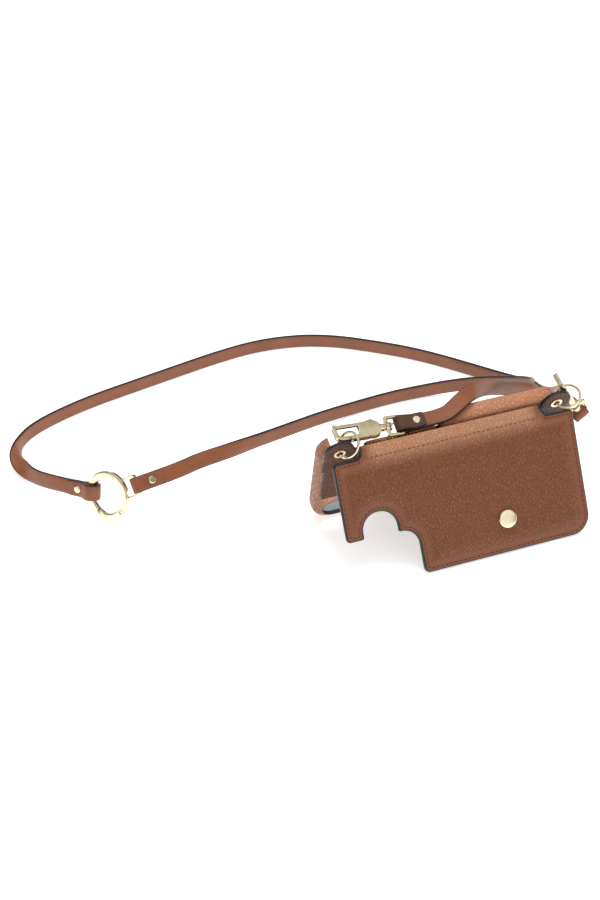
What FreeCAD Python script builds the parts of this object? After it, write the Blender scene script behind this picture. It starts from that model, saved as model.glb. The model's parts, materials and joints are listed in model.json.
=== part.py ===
"""Phone pouch: a leather-wrapped phone case with a hinged card flap on its back and a carry strap.

The pouch stands open like a tent: the case leans towards the viewer, the flap leans back, and the two
meet at the rolled leather fold along the top. The strap is clipped to two ears at the top corners and lies
on the floor behind the case. X runs along the phone, Y away from the flap, Z up, in millimetres.
"""
import FreeCAD, Part
import math
import os

V = FreeCAD.Vector
UP = V(0, 0, 1)

# Phone that the case is cut for, and the case built around it
PHONE_L = 146.7
PHONE_H = 71.5
PHONE_T = 7.7
PHONE_R = 9.5
PHONE_FIT = 0.5
SHELL = 1.6
SHELL_BACK = 1.2
LINING = 0.5
LINING_PLAY = 0.2
LEATHER = 0.9
LIP_H = 0.7
LIP_IN = 0.9
BACK_ROUND = 3.0
WALL = PHONE_FIT + SHELL + LEATHER
CASE_L = PHONE_L + 2 * WALL
CASE_H = PHONE_H + 2 * WALL
BACK = LEATHER + SHELL_BACK + LINING
CASE_T = BACK + PHONE_T + LIP_H
CASE_R = PHONE_R + WALL
HALF_L = CASE_L / 2

# Openings of the case, measured from its left end or its lower edge
BUTTON_FROM = 7.2
BUTTON_TO = 75.2
BUTTON_LOW = CASE_H - WALL
BUTTON_ROUND = 3.5
RING_RELIEF_TO = 27.0
RING_RELIEF_LOW = 66.5
POWER_FROM = 30.0
POWER_TO = 54.0
PORT_FROM = 19.0
PORT_TO = 58.0
CAM_FROM = 6.0
CAM_L = 30.0
CAM_LOW = 3.6
CAM_H = 15.4
CAM_RIM = 0.6

# Flap with its rolled fold, in its own plane: x along the phone, h up from its lower edge
FLAP_L = 151.0
FLAP_SHIFT = 2.5
FLAP_T = 3.0
FLAP_SKIN = 1.2
FLAP_BOARD = 0.8
BOARD_INSET = 3.0
FOLD_H = 80.4
FOLD_R = 2.6
FOLD_FROM = 10.5
FOLD_TO = 13.5
SHOULDER_ROUND = 3.0
NOTCH_DROP = 4.6
NOTCH_H = FOLD_H - NOTCH_DROP
LEG_W = 10.8
LEG_H = 28.6
SCALLOP_W = 21.2
SCALLOP_H = 42.9
STEP_W = 11.3
STEP_H = 28.2
FLAP_CORNER = 12.0
PAD_T = 1.6
PAD_INSET = 4.2
PAD_SLOPE = 4.5
PAD_ROUND = 7.0
POCKET_T = 1.7
POCKET_SLOT = 0.9
POCKET_RIM = 3.0
CARD_W = 87.0
CARD_H = 54.0
POCKET_LOW = 6.0
STUD_X = 23.0
STUD_H = 20.6
STUD_R = 5.6
STUD_RISE = 1.0

# How the tent stands: where the fold's axis lies over the case, and how far the fold is opened
HINGE_K = 79.92818
HINGE_OUT = 5.2
OPEN_ANGLE = 49.1

# Leather panel on the case's back with its two ears
PANEL_T = 1.6
PANEL_INSET = 3.0
PANEL_LOW = 8.0
PANEL_STEP = 27.0
PANEL_STEP_TO = 41.0
PANEL_TOP = 76.2
EAR_T = 2.4
EAR_R = 9.3
EYE_MARGIN = 7.85
EYE_K = 76.5
EYE_HOLE = 2.1
EYE_FLANGE = 3.6
EYE_LIP = 0.45
STRIP_T = 1.2
STRIP_LOW = 62.5
GAP = 0.3
CLOSURE_R = 6.0
CLOSURE_T = 0.8

# Jump rings and clasps
RING_R = 7.6
RING_WIRE = 0.8
RING_TURN_LEFT = 48.0
RING_TURN_RIGHT = 20.0
CLASP_T = 3.0
CLAW_W = 12.0
CLAW_BAR = 2.6
NOSE_BAR = 2.0
HOUSING_X = 22.8
HOUSING_R = 6.0
GATE_T = 1.5
GATE_BAR = 2.2
GATE_PIN_X = 18.6
GATE_PIN_Y = 4.3
GATE_PIN_R = 0.7
PIN_PLAY = 0.25
KNUCKLE_R = 1.9
NECK_R = 1.5
NECK_HEAD_R = 2.5
NECK_HEAD_T = 1.2
LOOP_X = 31.4
LOOP_L = 10.4
LOOP_W = 14.2
LOOP_BAR_R = 0.95
LOOP_TOP = 2.2

# Places of the clasps: along from their eyelet, up the case's back, and in from its back face
LEFT_NOSE_X = -0.6
LEFT_NOSE_K = 82.0132
LEFT_NOSE_IN = 7.5188
LEFT_BAR_X = 40.0
LEFT_BAR_K = 79.1173
LEFT_BAR_IN = 5.8593
RIGHT_NOSE_X = 4.17
RIGHT_NOSE_K = 83.619
RIGHT_NOSE_IN = 8.3562
RIGHT_BAR_X = 24.82
RIGHT_BAR_K = 48.9282
RIGHT_BAR_IN = 2.9449

# Strap and its ring
STRAP_W = 10.0
STRAP_T = 2.0
END_T = 4.0
END_L = 18.0
END_L_SHORT = 15.0
END_EYE = 0.3
RIVET_AT = 9.5
RIVET_R = 2.5
RIVET_SHANK = 1.1
RIVET_CAP = 1.0
CARRY_R = 13.6
CARRY_BAND = 4.6
CARRY_T = 3.4
GATE_FROM = -100.0
GATE_TO = -24.0
CARRY_PIN_R = 0.8
SEAM_GAP = 0.5
SEAM_SLANT = 40.0
CARRY_LOOP_OUT = 25.6
CARRY_LOOP_W = 14.2
CARRY_LOOP_BAR = 1.9
CARRY_X = -192.9
CARRY_Y = 122.2


def rounded_outline(corners, level=0.0):
    """Closed wire through (x, y, radius) corners, each rounded by a tangent arc."""
    count = len(corners)
    edges = []
    starts = []
    ends = []
    for index in range(count):
        x, y, radius = corners[index]
        here = V(x, y, level)
        before = V(corners[index - 1][0], corners[index - 1][1], level)
        after = V(corners[(index + 1) % count][0], corners[(index + 1) % count][1], level)
        inward = (before - here).normalize()
        onward = (after - here).normalize()
        half = inward.getAngle(onward) / 2
        if radius <= 0 or abs(half - math.pi / 2) < 1e-6:
            starts.append(here)
            ends.append(here)
            edges.append(None)
            continue
        reach = radius / math.tan(half)
        first = here + inward * reach
        last = here + onward * reach
        middle_line = (inward + onward).normalize()
        middle = here + middle_line * (radius / math.sin(half) - radius)
        starts.append(first)
        ends.append(last)
        edges.append(Part.Arc(first, middle, last).toShape())
    wire_edges = []
    for index in range(count):
        if edges[index] is not None:
            wire_edges.append(edges[index])
        go = ends[index]
        to = starts[(index + 1) % count]
        if go.distanceToPoint(to) > 1e-6:
            wire_edges.append(Part.LineSegment(go, to).toShape())
    return Part.Wire(Part.__sortEdges__(wire_edges))


def slab(corners, low, high):
    """Flat plate with a rounded outline between two levels of its own z."""
    face = Part.Face(rounded_outline(corners, low))
    return face.extrude(V(0, 0, high - low))


def block(x0, x1, y0, y1, radius):
    """Corners of a rectangle that share one radius."""
    return [(x0, y0, radius), (x1, y0, radius), (x1, y1, radius), (x0, y1, radius)]


def rod(radius, start, along, length):
    return Part.makeCylinder(radius, length, start, along)


def placed(shape, origin, x_axis, y_axis):
    """Move a shape drawn in its own frame so that its x and y lie along the given directions."""
    x_axis = V(x_axis).normalize()
    z_axis = x_axis.cross(V(y_axis)).normalize()
    y_axis = z_axis.cross(x_axis)
    matrix = FreeCAD.Matrix(
        x_axis.x, y_axis.x, z_axis.x, origin.x,
        x_axis.y, y_axis.y, z_axis.y, origin.y,
        x_axis.z, y_axis.z, z_axis.z, origin.z,
        0, 0, 0, 1)
    moved = shape.copy()
    moved.transformShape(matrix, True)
    return moved


# The opened fold sets both leans: the flap's foot and the case's rounded lower edge stand on one floor
opened = math.radians(OPEN_ANGLE)
foot_k = HINGE_K - BACK_ROUND
foot_out = HINGE_OUT + BACK_ROUND
level = FOLD_H - foot_k * math.cos(opened) + foot_out * math.sin(opened)
slope = FLAP_T / 2 - foot_k * math.sin(opened) - foot_out * math.cos(opened)
lean_f = math.atan2(slope, level) + math.acos(BACK_ROUND / math.hypot(level, slope))
lean_c = opened - lean_f
FLAP_UP = V(0, math.sin(lean_f), math.cos(lean_f))
FLAP_OUT = V(0, -math.cos(lean_f), math.sin(lean_f))
CASE_UP = V(0, -math.sin(lean_c), math.cos(lean_c))
CASE_OUT = V(0, -math.cos(lean_c), -math.sin(lean_c))

# The fold's axis is shared by the two leaning planes
HINGE = FLAP_UP * FOLD_H + FLAP_OUT * (FLAP_T / 2)
CASE_FOOT = HINGE - CASE_UP * HINGE_K - CASE_OUT * HINGE_OUT


def on_case(shape):
    return placed(shape, CASE_FOOT, V(1, 0, 0), CASE_UP)


def on_flap(shape):
    return placed(shape, V(0, 0, 0), V(1, 0, 0), FLAP_UP)


def case_point(x, k, z):
    return CASE_FOOT + case_way(x, k, z)


def case_way(x, k, z):
    return V(x, 0, 0) + CASE_UP * k + CASE_OUT * z


def case_corners(inset):
    """The case's outline, set in from its outside all round."""
    return block(-HALF_L + inset, HALF_L - inset, inset, CASE_H - inset, CASE_R - inset)


def tray(inset, back, fillet):
    """Solid block of the case, inset from its outside, with rounded edges round the back."""
    body = slab(case_corners(inset), -CASE_T, back)
    rim = [edge for edge in body.Edges if all(abs(v.Z - back) < 1e-6 for v in edge.Vertexes)]
    return body.makeFillet(fillet, rim)


def notch(x0, x1, low, top, inner, outer):
    """Cutter for a gap in the upper wall, with rounded feet and eased shoulders."""
    corners = [(x0, low, inner), (x1, low, inner), (x1, top, outer), (x1 + 3 * outer, top, 0)]
    corners += [(x1 + 3 * outer, top + 20, 0), (x0 - 3 * outer, top + 20, 0)]
    corners += [(x0 - 3 * outer, top, 0), (x0, top, outer)]
    return corners


def case_cuts():
    """Buttons, ring relief, power key, port end: what is cut out of the shell and its leather."""
    left = -HALF_L
    far = -CASE_T - 1
    buttons = notch(left + BUTTON_FROM, left + BUTTON_TO, BUTTON_LOW, CASE_H, BUTTON_ROUND, 2.0)
    cuts = [slab(buttons, far, 1)]
    relief = block(left + BUTTON_FROM, left + RING_RELIEF_TO, RING_RELIEF_LOW, CASE_H + 5, 2.0)
    cuts.append(slab(relief, far, 1))
    power = block(left + POWER_FROM, left + POWER_TO, -5, WALL, 2.0)
    cuts.append(slab(power, far, -BACK))
    port = block(HALF_L - WALL - 1, HALF_L + 5, PORT_FROM, PORT_TO, 2.0)
    cuts.append(slab(port, far, -BACK))
    return cuts


def camera_slot(grow, low, high):
    x0 = -HALF_L + CAM_FROM - grow
    x1 = -HALF_L + CAM_FROM + CAM_L + grow
    corners = block(x0, x1, CAM_LOW - grow, CAM_LOW + CAM_H + grow, CAM_H / 2 + grow - 0.01)
    return slab(corners, low, high)


def cut_all(shape, tools):
    for tool in tools:
        shape = shape.cut(tool)
    return shape


def make_case():
    bay_in = LEATHER + SHELL
    floor = -(LEATHER + SHELL_BACK)
    lip = -(BACK + PHONE_T)
    bay = slab(case_corners(bay_in), lip, floor)
    mouth = slab(case_corners(bay_in + LIP_IN), -CASE_T - 1, lip)
    inner = tray(LEATHER, -LEATHER, BACK_ROUND - LEATHER)
    seat = camera_slot(CAM_RIM, -CASE_T, 1)
    cuts = case_cuts()
    leather = cut_all(tray(0, 0, BACK_ROUND).cut(inner), cuts + [seat])
    shell = cut_all(inner.cut(bay).cut(mouth), cuts + [seat])
    lining = cut_all(slab(case_corners(bay_in + LINING_PLAY), -BACK, floor), cuts + [seat])
    rim = camera_slot(CAM_RIM, -BACK, 0).cut(camera_slot(0, -BACK - 1, 1))
    front = Part.makeBox(2 * CASE_L, 2 * CASE_L, CASE_T, V(-CASE_L, -CASE_H, -BACK_ROUND - CASE_T))
    return {
        "case_leather_back": leather.cut(front),
        "case_leather_edge": leather.common(front),
        "case_shell": shell,
        "case_lining": lining,
        "camera_rim": rim,
    }


def eye_x(side):
    return FLAP_SHIFT + side * (HALF_L - EYE_MARGIN)


def make_panel():
    """Dark leather on the case's back: a stepped plate, its two thicker ears, eyelets and closure disc."""
    x0 = -HALF_L + PANEL_INSET
    x1 = HALF_L - PANEL_INSET
    step = -HALF_L + PANEL_STEP_TO
    corners = [(x0, PANEL_STEP, 2.0), (step, PANEL_STEP, 4.0), (step, PANEL_LOW, 4.0), (x1, PANEL_LOW, 8.0)]
    corners += [(x1, PANEL_TOP, 1.0), (x0, PANEL_TOP, 1.0)]
    plate = slab(corners, 0, PANEL_T)
    nodes = {}
    root = PANEL_TOP - 2 * EAR_R
    for name, side in (("left", -1), ("right", 1)):
        x = eye_x(side)
        ear = slab(block(x - EAR_R, x + EAR_R, root, EYE_K + EAR_R, EAR_R - 0.01), 0, EAR_T)
        stem = slab(block(x - EAR_R, x + EAR_R, root, PANEL_TOP, 1.0), 0, PANEL_T)
        plate = plate.fuse([ear, stem])
        barrel = rod(EYE_HOLE + EYE_LIP, V(x, EYE_K, 0), UP, EAR_T + EYE_LIP)
        flange = rod(EYE_FLANGE, V(x, EYE_K, EAR_T), UP, EYE_LIP)
        bore = rod(EYE_HOLE, V(x, EYE_K, -5), UP, 15)
        eyelet = barrel.fuse(flange).cut(bore)
        nodes["eyelet_" + name] = eyelet.removeSplitter()
        plate = plate.cut(rod(EYE_HOLE + EYE_LIP, V(x, EYE_K, -5), UP, 15))
    disc_k = STUD_H - FOLD_H + HINGE_K
    disc = rod(CLOSURE_R, V(FLAP_SHIFT + STUD_X, disc_k, PANEL_T - CLOSURE_T), UP, CLOSURE_T)
    nodes["back_panel"] = plate.cut(disc).removeSplitter()
    nodes["closure_disc_case"] = disc
    strip_top = HINGE_K - math.sqrt((FOLD_R + GAP) ** 2 - (HINGE_OUT - PANEL_T - STRIP_T) ** 2)
    strip = block(fold_x()[0], fold_x()[1], STRIP_LOW, strip_top, 0.8)
    nodes["hinge_strip"] = slab(strip, PANEL_T, PANEL_T + STRIP_T)
    return nodes


def flap_edges():
    return FLAP_SHIFT - FLAP_L / 2, FLAP_SHIFT + FLAP_L / 2


def fold_x():
    """Ends of the rolled fold, kept clear of the two eyelets."""
    return eye_x(-1) + FOLD_FROM, eye_x(1) - FOLD_TO


def flap_corners():
    """Flap outline: short leg at the left, scalloped camera cut-out, rounded foot, notched top corners."""
    left, right = flap_edges()
    fold_left, fold_right = fold_x()
    scallop = left + LEG_W
    cusp = scallop + SCALLOP_W
    step = cusp + STEP_W
    arch = SCALLOP_W / 2 - 0.2
    corners = [(left, LEG_H, 2.5), (scallop, LEG_H, 1.5)]
    corners += [(scallop, SCALLOP_H, arch), (cusp, SCALLOP_H, arch)]
    corners += [(cusp, STEP_H, 1.0), (step, STEP_H, STEP_W - 1.5), (step, 0, 3.5), (right, 0, FLAP_CORNER)]
    shoulders = (right - fold_right - 3.4, fold_left - 1.0 - left)
    rounds = [min(SHOULDER_ROUND, 0.4 * width) for width in shoulders]
    corners += [(right, NOTCH_H, rounds[0]), (fold_right + 3.4, NOTCH_H, 1.0), (fold_right, FOLD_H, 0)]
    corners += [(fold_left, FOLD_H, 0), (fold_left - 1.0, NOTCH_H, rounds[1]), (left, NOTCH_H, rounds[1])]
    return corners


def pad_outline(inset, level):
    """Outline of the padded part of the flap's face, set in from the flap's edges."""
    left, right = flap_edges()
    step = left + LEG_W + SCALLOP_W + STEP_W
    arch = SCALLOP_H + inset
    convex = PAD_ROUND - inset + PAD_INSET
    concave = PAD_ROUND + inset - PAD_INSET
    corners = [(left + inset, arch, convex), (step + inset, arch, concave), (step + inset, inset, convex)]
    corners += [(right - inset, inset, convex), (right - inset, NOTCH_H - inset, convex)]
    corners += [(left + inset, NOTCH_H - inset, convex)]
    return rounded_outline(corners, level)


def make_flap():
    corners = flap_corners()
    fold_left, fold_right = fold_x()
    skin_low = FLAP_T - FLAP_SKIN
    skin = slab(corners, skin_low, FLAP_T)
    middle = FLAP_T / 2
    roll = rod(FOLD_R, V(fold_left, FOLD_H, middle), V(1, 0, 0), fold_right - fold_left)
    blank = Part.Face(rounded_outline(corners, skin_low - FLAP_BOARD))
    board_face = blank.makeOffset2D(-BOARD_INSET)
    board = board_face.extrude(V(0, 0, FLAP_BOARD)).cut(roll)
    disc = rod(CLOSURE_R, V(FLAP_SHIFT + STUD_X, STUD_H, 0), UP, CLOSURE_T)
    face_z = FLAP_T + PAD_T
    post = rod(RIVET_SHANK, V(FLAP_SHIFT + STUD_X, STUD_H, CLOSURE_T), UP, face_z - CLOSURE_T)
    lining = slab(corners, 0, skin_low).cut(board).cut(roll).cut(disc).cut(post)
    board = board.cut(post)
    pad_wires = [pad_outline(PAD_INSET, FLAP_T), pad_outline(PAD_INSET + PAD_SLOPE, face_z)]
    pad = Part.makeLoft(pad_wires, True, True)
    skin = skin.fuse([roll, pad]).removeSplitter().cut(post)
    stud = rod(STUD_R, V(FLAP_SHIFT + STUD_X, STUD_H, face_z), UP, STUD_RISE)
    top_edge = [e for e in stud.Edges if e.CenterOfMass.z > face_z + 0.9 * STUD_RISE]
    stud = stud.makeChamfer(STUD_RISE * 0.4, top_edge)
    stud = stud.fuse(post).removeSplitter()
    pocket_x0 = FLAP_SHIFT + STUD_X - CARD_W / 2 - POCKET_RIM
    pocket_x1 = pocket_x0 + CARD_W + 2 * POCKET_RIM
    pocket_top = POCKET_LOW + POCKET_RIM + CARD_H - 6.0
    pocket = slab(block(pocket_x0, pocket_x1, POCKET_LOW, pocket_top, 3.0), -POCKET_T, 0)
    slot_x = (pocket_x0 + POCKET_RIM, pocket_x1 - POCKET_RIM)
    slot = block(*slot_x, POCKET_LOW + POCKET_RIM, pocket_top + 9, 2.0)
    thumb = rod(10.0, V((pocket_x0 + pocket_x1) / 2, pocket_top + 3.0, -POCKET_T - 1), UP, POCKET_T + 2)
    pocket = pocket.cut(slab(slot, -POCKET_SLOT, 1)).cut(thumb)
    return {
        "flap_leather": skin,
        "flap_board": board,
        "flap_lining": lining,
        "flap_stud": stud,
        "closure_disc_flap": disc,
        "card_pocket": pocket,
    }


def ring_centre(side):
    """Centre of a jump ring that hangs in its eyelet, and the way it points in the ear's plane."""
    turn = math.radians(RING_TURN_LEFT if side < 0 else RING_TURN_RIGHT)
    way = V(1, 0, 0) * math.cos(turn) + CASE_UP * math.sin(turn)
    return case_point(eye_x(side), EYE_K, EAR_T / 2) + way * RING_R, way


def make_ring(side):
    centre, way = ring_centre(side)
    return Part.makeTorus(RING_R, RING_WIRE, centre, way.cross(CASE_OUT))


def claw_outline():
    half = CLAW_W / 2
    neck = HOUSING_X - 2
    corners = [(0, -half, 4.5), (neck, -half, 2.0), (neck, half - 0.6, 0.5)]
    corners += [(GATE_PIN_X - KNUCKLE_R - 1.5, half - 0.6, 0.5), (GATE_PIN_X - KNUCKLE_R - 1.5, 0.6, 0.6)]
    corners += [(GATE_PIN_X - KNUCKLE_R - 2.2, -half + CLAW_BAR, 2.0), (NOSE_BAR, -half + CLAW_BAR, 2.2)]
    corners += [(NOSE_BAR, half, 0.6), (0, half, 1.2)]
    return corners


def make_clasp():
    """Lobster clasp in its own frame: claw along x from its nose, y across, swivel loop at the far end."""
    half_t = CLASP_T / 2
    body = slab(claw_outline(), -half_t, half_t)
    body = body.fuse(rod(HOUSING_R, V(HOUSING_X, 0, -half_t), UP, CLASP_T))
    knuckle = V(GATE_PIN_X, GATE_PIN_Y, 0)
    body = body.cut(rod(KNUCKLE_R + GAP, knuckle - V(0, 0, GATE_T / 2 + 0.2), UP, GATE_T + 0.4))
    gate_room = GATE_T / 2 + 0.2
    swing = slab(block(NOSE_BAR + 6, GATE_PIN_X, 1.0, 9, 0.5), -gate_room, gate_room)
    body = body.cut(swing)
    thumb_low = GATE_PIN_Y - 1.4
    room = slab(block(GATE_PIN_X - 1, GATE_PIN_X + 9, thumb_low, 9, 0.5), -gate_room, gate_room)
    body = body.cut(room)
    body = body.fuse(rod(NECK_R + 0.9, V(HOUSING_X + HOUSING_R - 1.0, 0, 0), V(1, 0, 0), 2.4))
    bore = rod(GATE_PIN_R, knuckle - V(0, 0, 5), UP, 10)
    body = body.cut(bore).removeSplitter()
    pin = rod(GATE_PIN_R, knuckle - V(0, 0, half_t), UP, CLASP_T)
    half = CLAW_W / 2
    bar = block(NOSE_BAR + GAP, GATE_PIN_X, half - GATE_BAR, half, 0.8)
    gate = slab(bar, -GATE_T / 2, GATE_T / 2)
    gate = gate.fuse(rod(KNUCKLE_R, knuckle - V(0, 0, GATE_T / 2), UP, GATE_T))
    thumb = [(GATE_PIN_X, GATE_PIN_Y + 0.2, 0.3), (GATE_PIN_X + 6.5, GATE_PIN_Y + 1.6, 0.6)]
    thumb += [(GATE_PIN_X + 6.5, GATE_PIN_Y + 3.4, 0.6), (GATE_PIN_X, GATE_PIN_Y + 1.7, 0.3)]
    gate = gate.fuse(slab(thumb, -GATE_T / 2, GATE_T / 2))
    gate = gate.cut(rod(GATE_PIN_R + PIN_PLAY, knuckle - V(0, 0, 5), UP, 10)).removeSplitter()
    neck_from = HOUSING_X + HOUSING_R + 1.4
    collar_to = LOOP_X + LOOP_TOP
    neck = rod(NECK_R, V(neck_from, 0, 0), V(1, 0, 0), collar_to + GAP - neck_from)
    neck = neck.fuse(rod(NECK_HEAD_R, V(collar_to + GAP, 0, 0), V(1, 0, 0), NECK_HEAD_T)).removeSplitter()
    outer = slab(block(LOOP_X, LOOP_X + LOOP_L, -LOOP_W / 2, LOOP_W / 2, 1.6), -LOOP_BAR_R, LOOP_BAR_R)
    side = 2 * LOOP_BAR_R
    opening = block(collar_to, LOOP_X + LOOP_L - side, -LOOP_W / 2 + side, LOOP_W / 2 - side, 0.6)
    loop = outer.cut(slab(opening, -5, 5))
    collar = rod(NECK_R + 1.3, V(LOOP_X, 0, 0), V(1, 0, 0), LOOP_TOP)
    loop = loop.fuse(collar).cut(rod(NECK_R + GAP, V(LOOP_X - 1, 0, 0), V(1, 0, 0), LOOP_TOP + 2))
    return body, gate, pin, neck, loop.removeSplitter()


LOOP_BAR_X = LOOP_X + LOOP_L - LOOP_BAR_R

# Where each clasp's nose and loop bar lie on the case, and which way the claw and the swivelled loop face
CLASP_LEFT = {
    "nose": case_point(eye_x(-1) + LEFT_NOSE_X, LEFT_NOSE_K, -LEFT_NOSE_IN),
    "bar": case_point(eye_x(-1) + LEFT_BAR_X, LEFT_BAR_K, -LEFT_BAR_IN),
    "across": case_way(0.05, -0.114079, -0.985437),
    "loop_across": case_way(0.059, -0.003471, -0.996161),
}
CLASP_RIGHT = {
    "nose": case_point(eye_x(1) + RIGHT_NOSE_X, RIGHT_NOSE_K, -RIGHT_NOSE_IN),
    "bar": case_point(eye_x(1) + RIGHT_BAR_X, RIGHT_BAR_K, -RIGHT_BAR_IN),
    "across": case_way(0.034, -0.10506, -0.99537),
    "loop_across": case_way(-0.849, -0.468705, 0.246154),
}


def clasp_nodes(name, clasp):
    body, gate, pin, neck, loop = make_clasp()
    nose = clasp["nose"]
    along = clasp["bar"] - nose
    claw = {"body": body, "gate": gate, "gate_pin": pin}
    nodes = {}
    for piece in claw:
        nodes["clasp_" + name + "_" + piece] = placed(claw[piece], nose, along, clasp["across"])
    nodes["clasp_" + name + "_neck"] = placed(neck, nose, along, clasp["across"])
    nodes["clasp_" + name + "_loop"] = placed(loop, nose, along, clasp["loop_across"])
    return nodes


def strap_end(bar_r, length):
    """Folded end of the strap: an eye round a bar at the origin and a doubled, riveted tongue along x."""
    half_w = STRAP_W / 2
    inner = bar_r + END_EYE
    outer = inner + END_T / 2
    eye = rod(outer, V(0, -half_w, 0), V(0, 1, 0), STRAP_W)
    tongue = Part.makeBox(length, STRAP_W, END_T, V(0, -half_w, -END_T / 2))
    end = eye.fuse(tongue).cut(rod(inner, V(0, -half_w - 1, 0), V(0, 1, 0), STRAP_W + 2))
    shank = rod(RIVET_SHANK, V(RIVET_AT, 0, -END_T / 2), UP, END_T)
    end = end.cut(shank).removeSplitter()
    dome = rod(RIVET_R, V(0, 0, 0), UP, RIVET_CAP)
    dome = dome.makeFillet(RIVET_CAP * 0.8, [e for e in dome.Edges if e.BoundBox.ZMin > RIVET_CAP / 2])
    top = placed(dome, V(RIVET_AT, 0, END_T / 2), V(1, 0, 0), V(0, 1, 0))
    under = placed(dome, V(RIVET_AT, 0, -END_T / 2), V(1, 0, 0), V(0, -1, 0))
    rivet = shank.fuse([top, under]).removeSplitter()
    return end, rivet


def route_samples(points):
    """Straight runs joined by tangent arcs, each as large as its runs allow: points, headings and radii."""
    samples = [points[0]]
    radii = []
    for index in range(1, len(points) - 1):
        here = points[index]
        back = points[index - 1] - here
        ahead = points[index + 1] - here
        reach = 0.45 * min(back.Length, ahead.Length)
        inward = V(back).normalize()
        onward = V(ahead).normalize()
        turn = math.pi - inward.getAngle(onward)
        radius = reach / math.tan(turn / 2)
        radii.append(radius)
        first = here + inward * reach
        centre_way = (inward + onward).normalize()
        centre = here + centre_way * (radius / math.cos(turn / 2))
        last = here + onward * reach
        steps = 4 if turn > 0.3 else 3
        for step in range(steps + 1):
            share = step / steps
            spot = first * (1 - share) + last * share - centre
            samples.append(centre + spot.normalize() * radius)
    samples.append(points[-1])
    return samples, radii


def band(name, points, first_across, last_across):
    """Flat strap along a route: upright in the middle, turned at each end to meet its folded end."""
    samples, radii = route_samples(points)
    reach = [0.0]
    for index in range(1, len(samples)):
        reach.append(reach[-1] + samples[index].distanceToPoint(samples[index - 1]))
    total = reach[-1]
    wires = []
    for index in range(len(samples)):
        ahead = samples[min(index + 1, len(samples) - 1)]
        behind = samples[max(index - 1, 0)]
        heading = (ahead - behind).normalize()
        upright = (UP - heading * UP.dot(heading)).normalize()
        at_start = min(1.0, max(0.0, 1 - (reach[index] - FLAT_L) / TWIST_L))
        at_end = min(1.0, max(0.0, 1 - (total - reach[index] - FLAT_L) / TWIST_L))
        across = upright
        for share, target in ((at_start, first_across), (at_end, last_across)):
            if share > 0:
                wanted = V(target) - heading * heading.dot(target)
                ease = share * share * (3 - 2 * share)
                angle = across.getAngle(wanted)
                if across.cross(wanted).dot(heading) < 0:
                    angle = -angle
                turn = FreeCAD.Rotation(heading, math.degrees(angle * ease))
                across = turn.multVec(across)
        thick = heading.cross(across).normalize() * (STRAP_T / 2)
        wide = across.normalize() * (STRAP_W / 2)
        spot = samples[index]
        corners = [spot + wide + thick, spot + wide - thick, spot - wide - thick, spot - wide + thick]
        wires.append(Part.makePolygon(corners + corners[:1]))
    solid = Part.makeLoft(wires, True, True)
    share = solid.Volume / (STRAP_W * STRAP_T * total)
    print(name, "length", round(total, 1), "volume share", round(share, 3))
    print(name, "least radius", round(min(radii), 1))
    return solid


# The carry ring stands on its edge; the strap's two lengths meet there
CARRY_TURN = math.radians(-49.0)
CARRY_LEAN = math.radians(22.0)
CARRY_ALONG = V(math.cos(CARRY_TURN), math.sin(CARRY_TURN), 0)
CARRY_FACE = V(math.sin(CARRY_TURN), -math.cos(CARRY_TURN), 0)
CARRY_UP = CARRY_FACE * -math.sin(CARRY_LEAN) + UP * math.cos(CARRY_LEAN)
CARRY_HEIGHT = (CARRY_R + CARRY_BAND / 2) * math.cos(CARRY_LEAN) + CARRY_T / 2 * math.sin(CARRY_LEAN)
CARRY_CENTRE = V(CARRY_X, CARRY_Y, CARRY_HEIGHT)
seam_slant = math.radians(SEAM_SLANT)
SEAM_ACROSS = V(math.cos(seam_slant), math.sin(seam_slant), 0)
SEAM_AXES = (SEAM_ACROSS, UP.cross(SEAM_ACROSS))
CARRY_LOOP_TURN = 33.0
END_TURN = 185.0


def carry_point(turn, radius):
    angle = math.radians(turn)
    return CARRY_CENTRE + (CARRY_ALONG * math.cos(angle) + CARRY_UP * math.sin(angle)) * radius


def carry_tangent(turn):
    angle = math.radians(turn)
    return CARRY_UP * math.cos(angle) - CARRY_ALONG * math.sin(angle)


def arc_band(start, stop):
    """Part of the carry ring's flat band between two angles in degrees, in the ring's own frame."""
    inner = CARRY_R - CARRY_BAND / 2
    profile = slab(block(inner, inner + CARRY_BAND, -CARRY_T / 2, CARRY_T / 2, 0.9), 0, 0.001).Faces
    section = min(profile, key=lambda face: face.CenterOfMass.z)
    section.rotate(V(0, 0, 0), V(1, 0, 0), 90)
    section.rotate(V(0, 0, 0), UP, start)
    return section.revolve(V(0, 0, 0), UP, stop - start)


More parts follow.
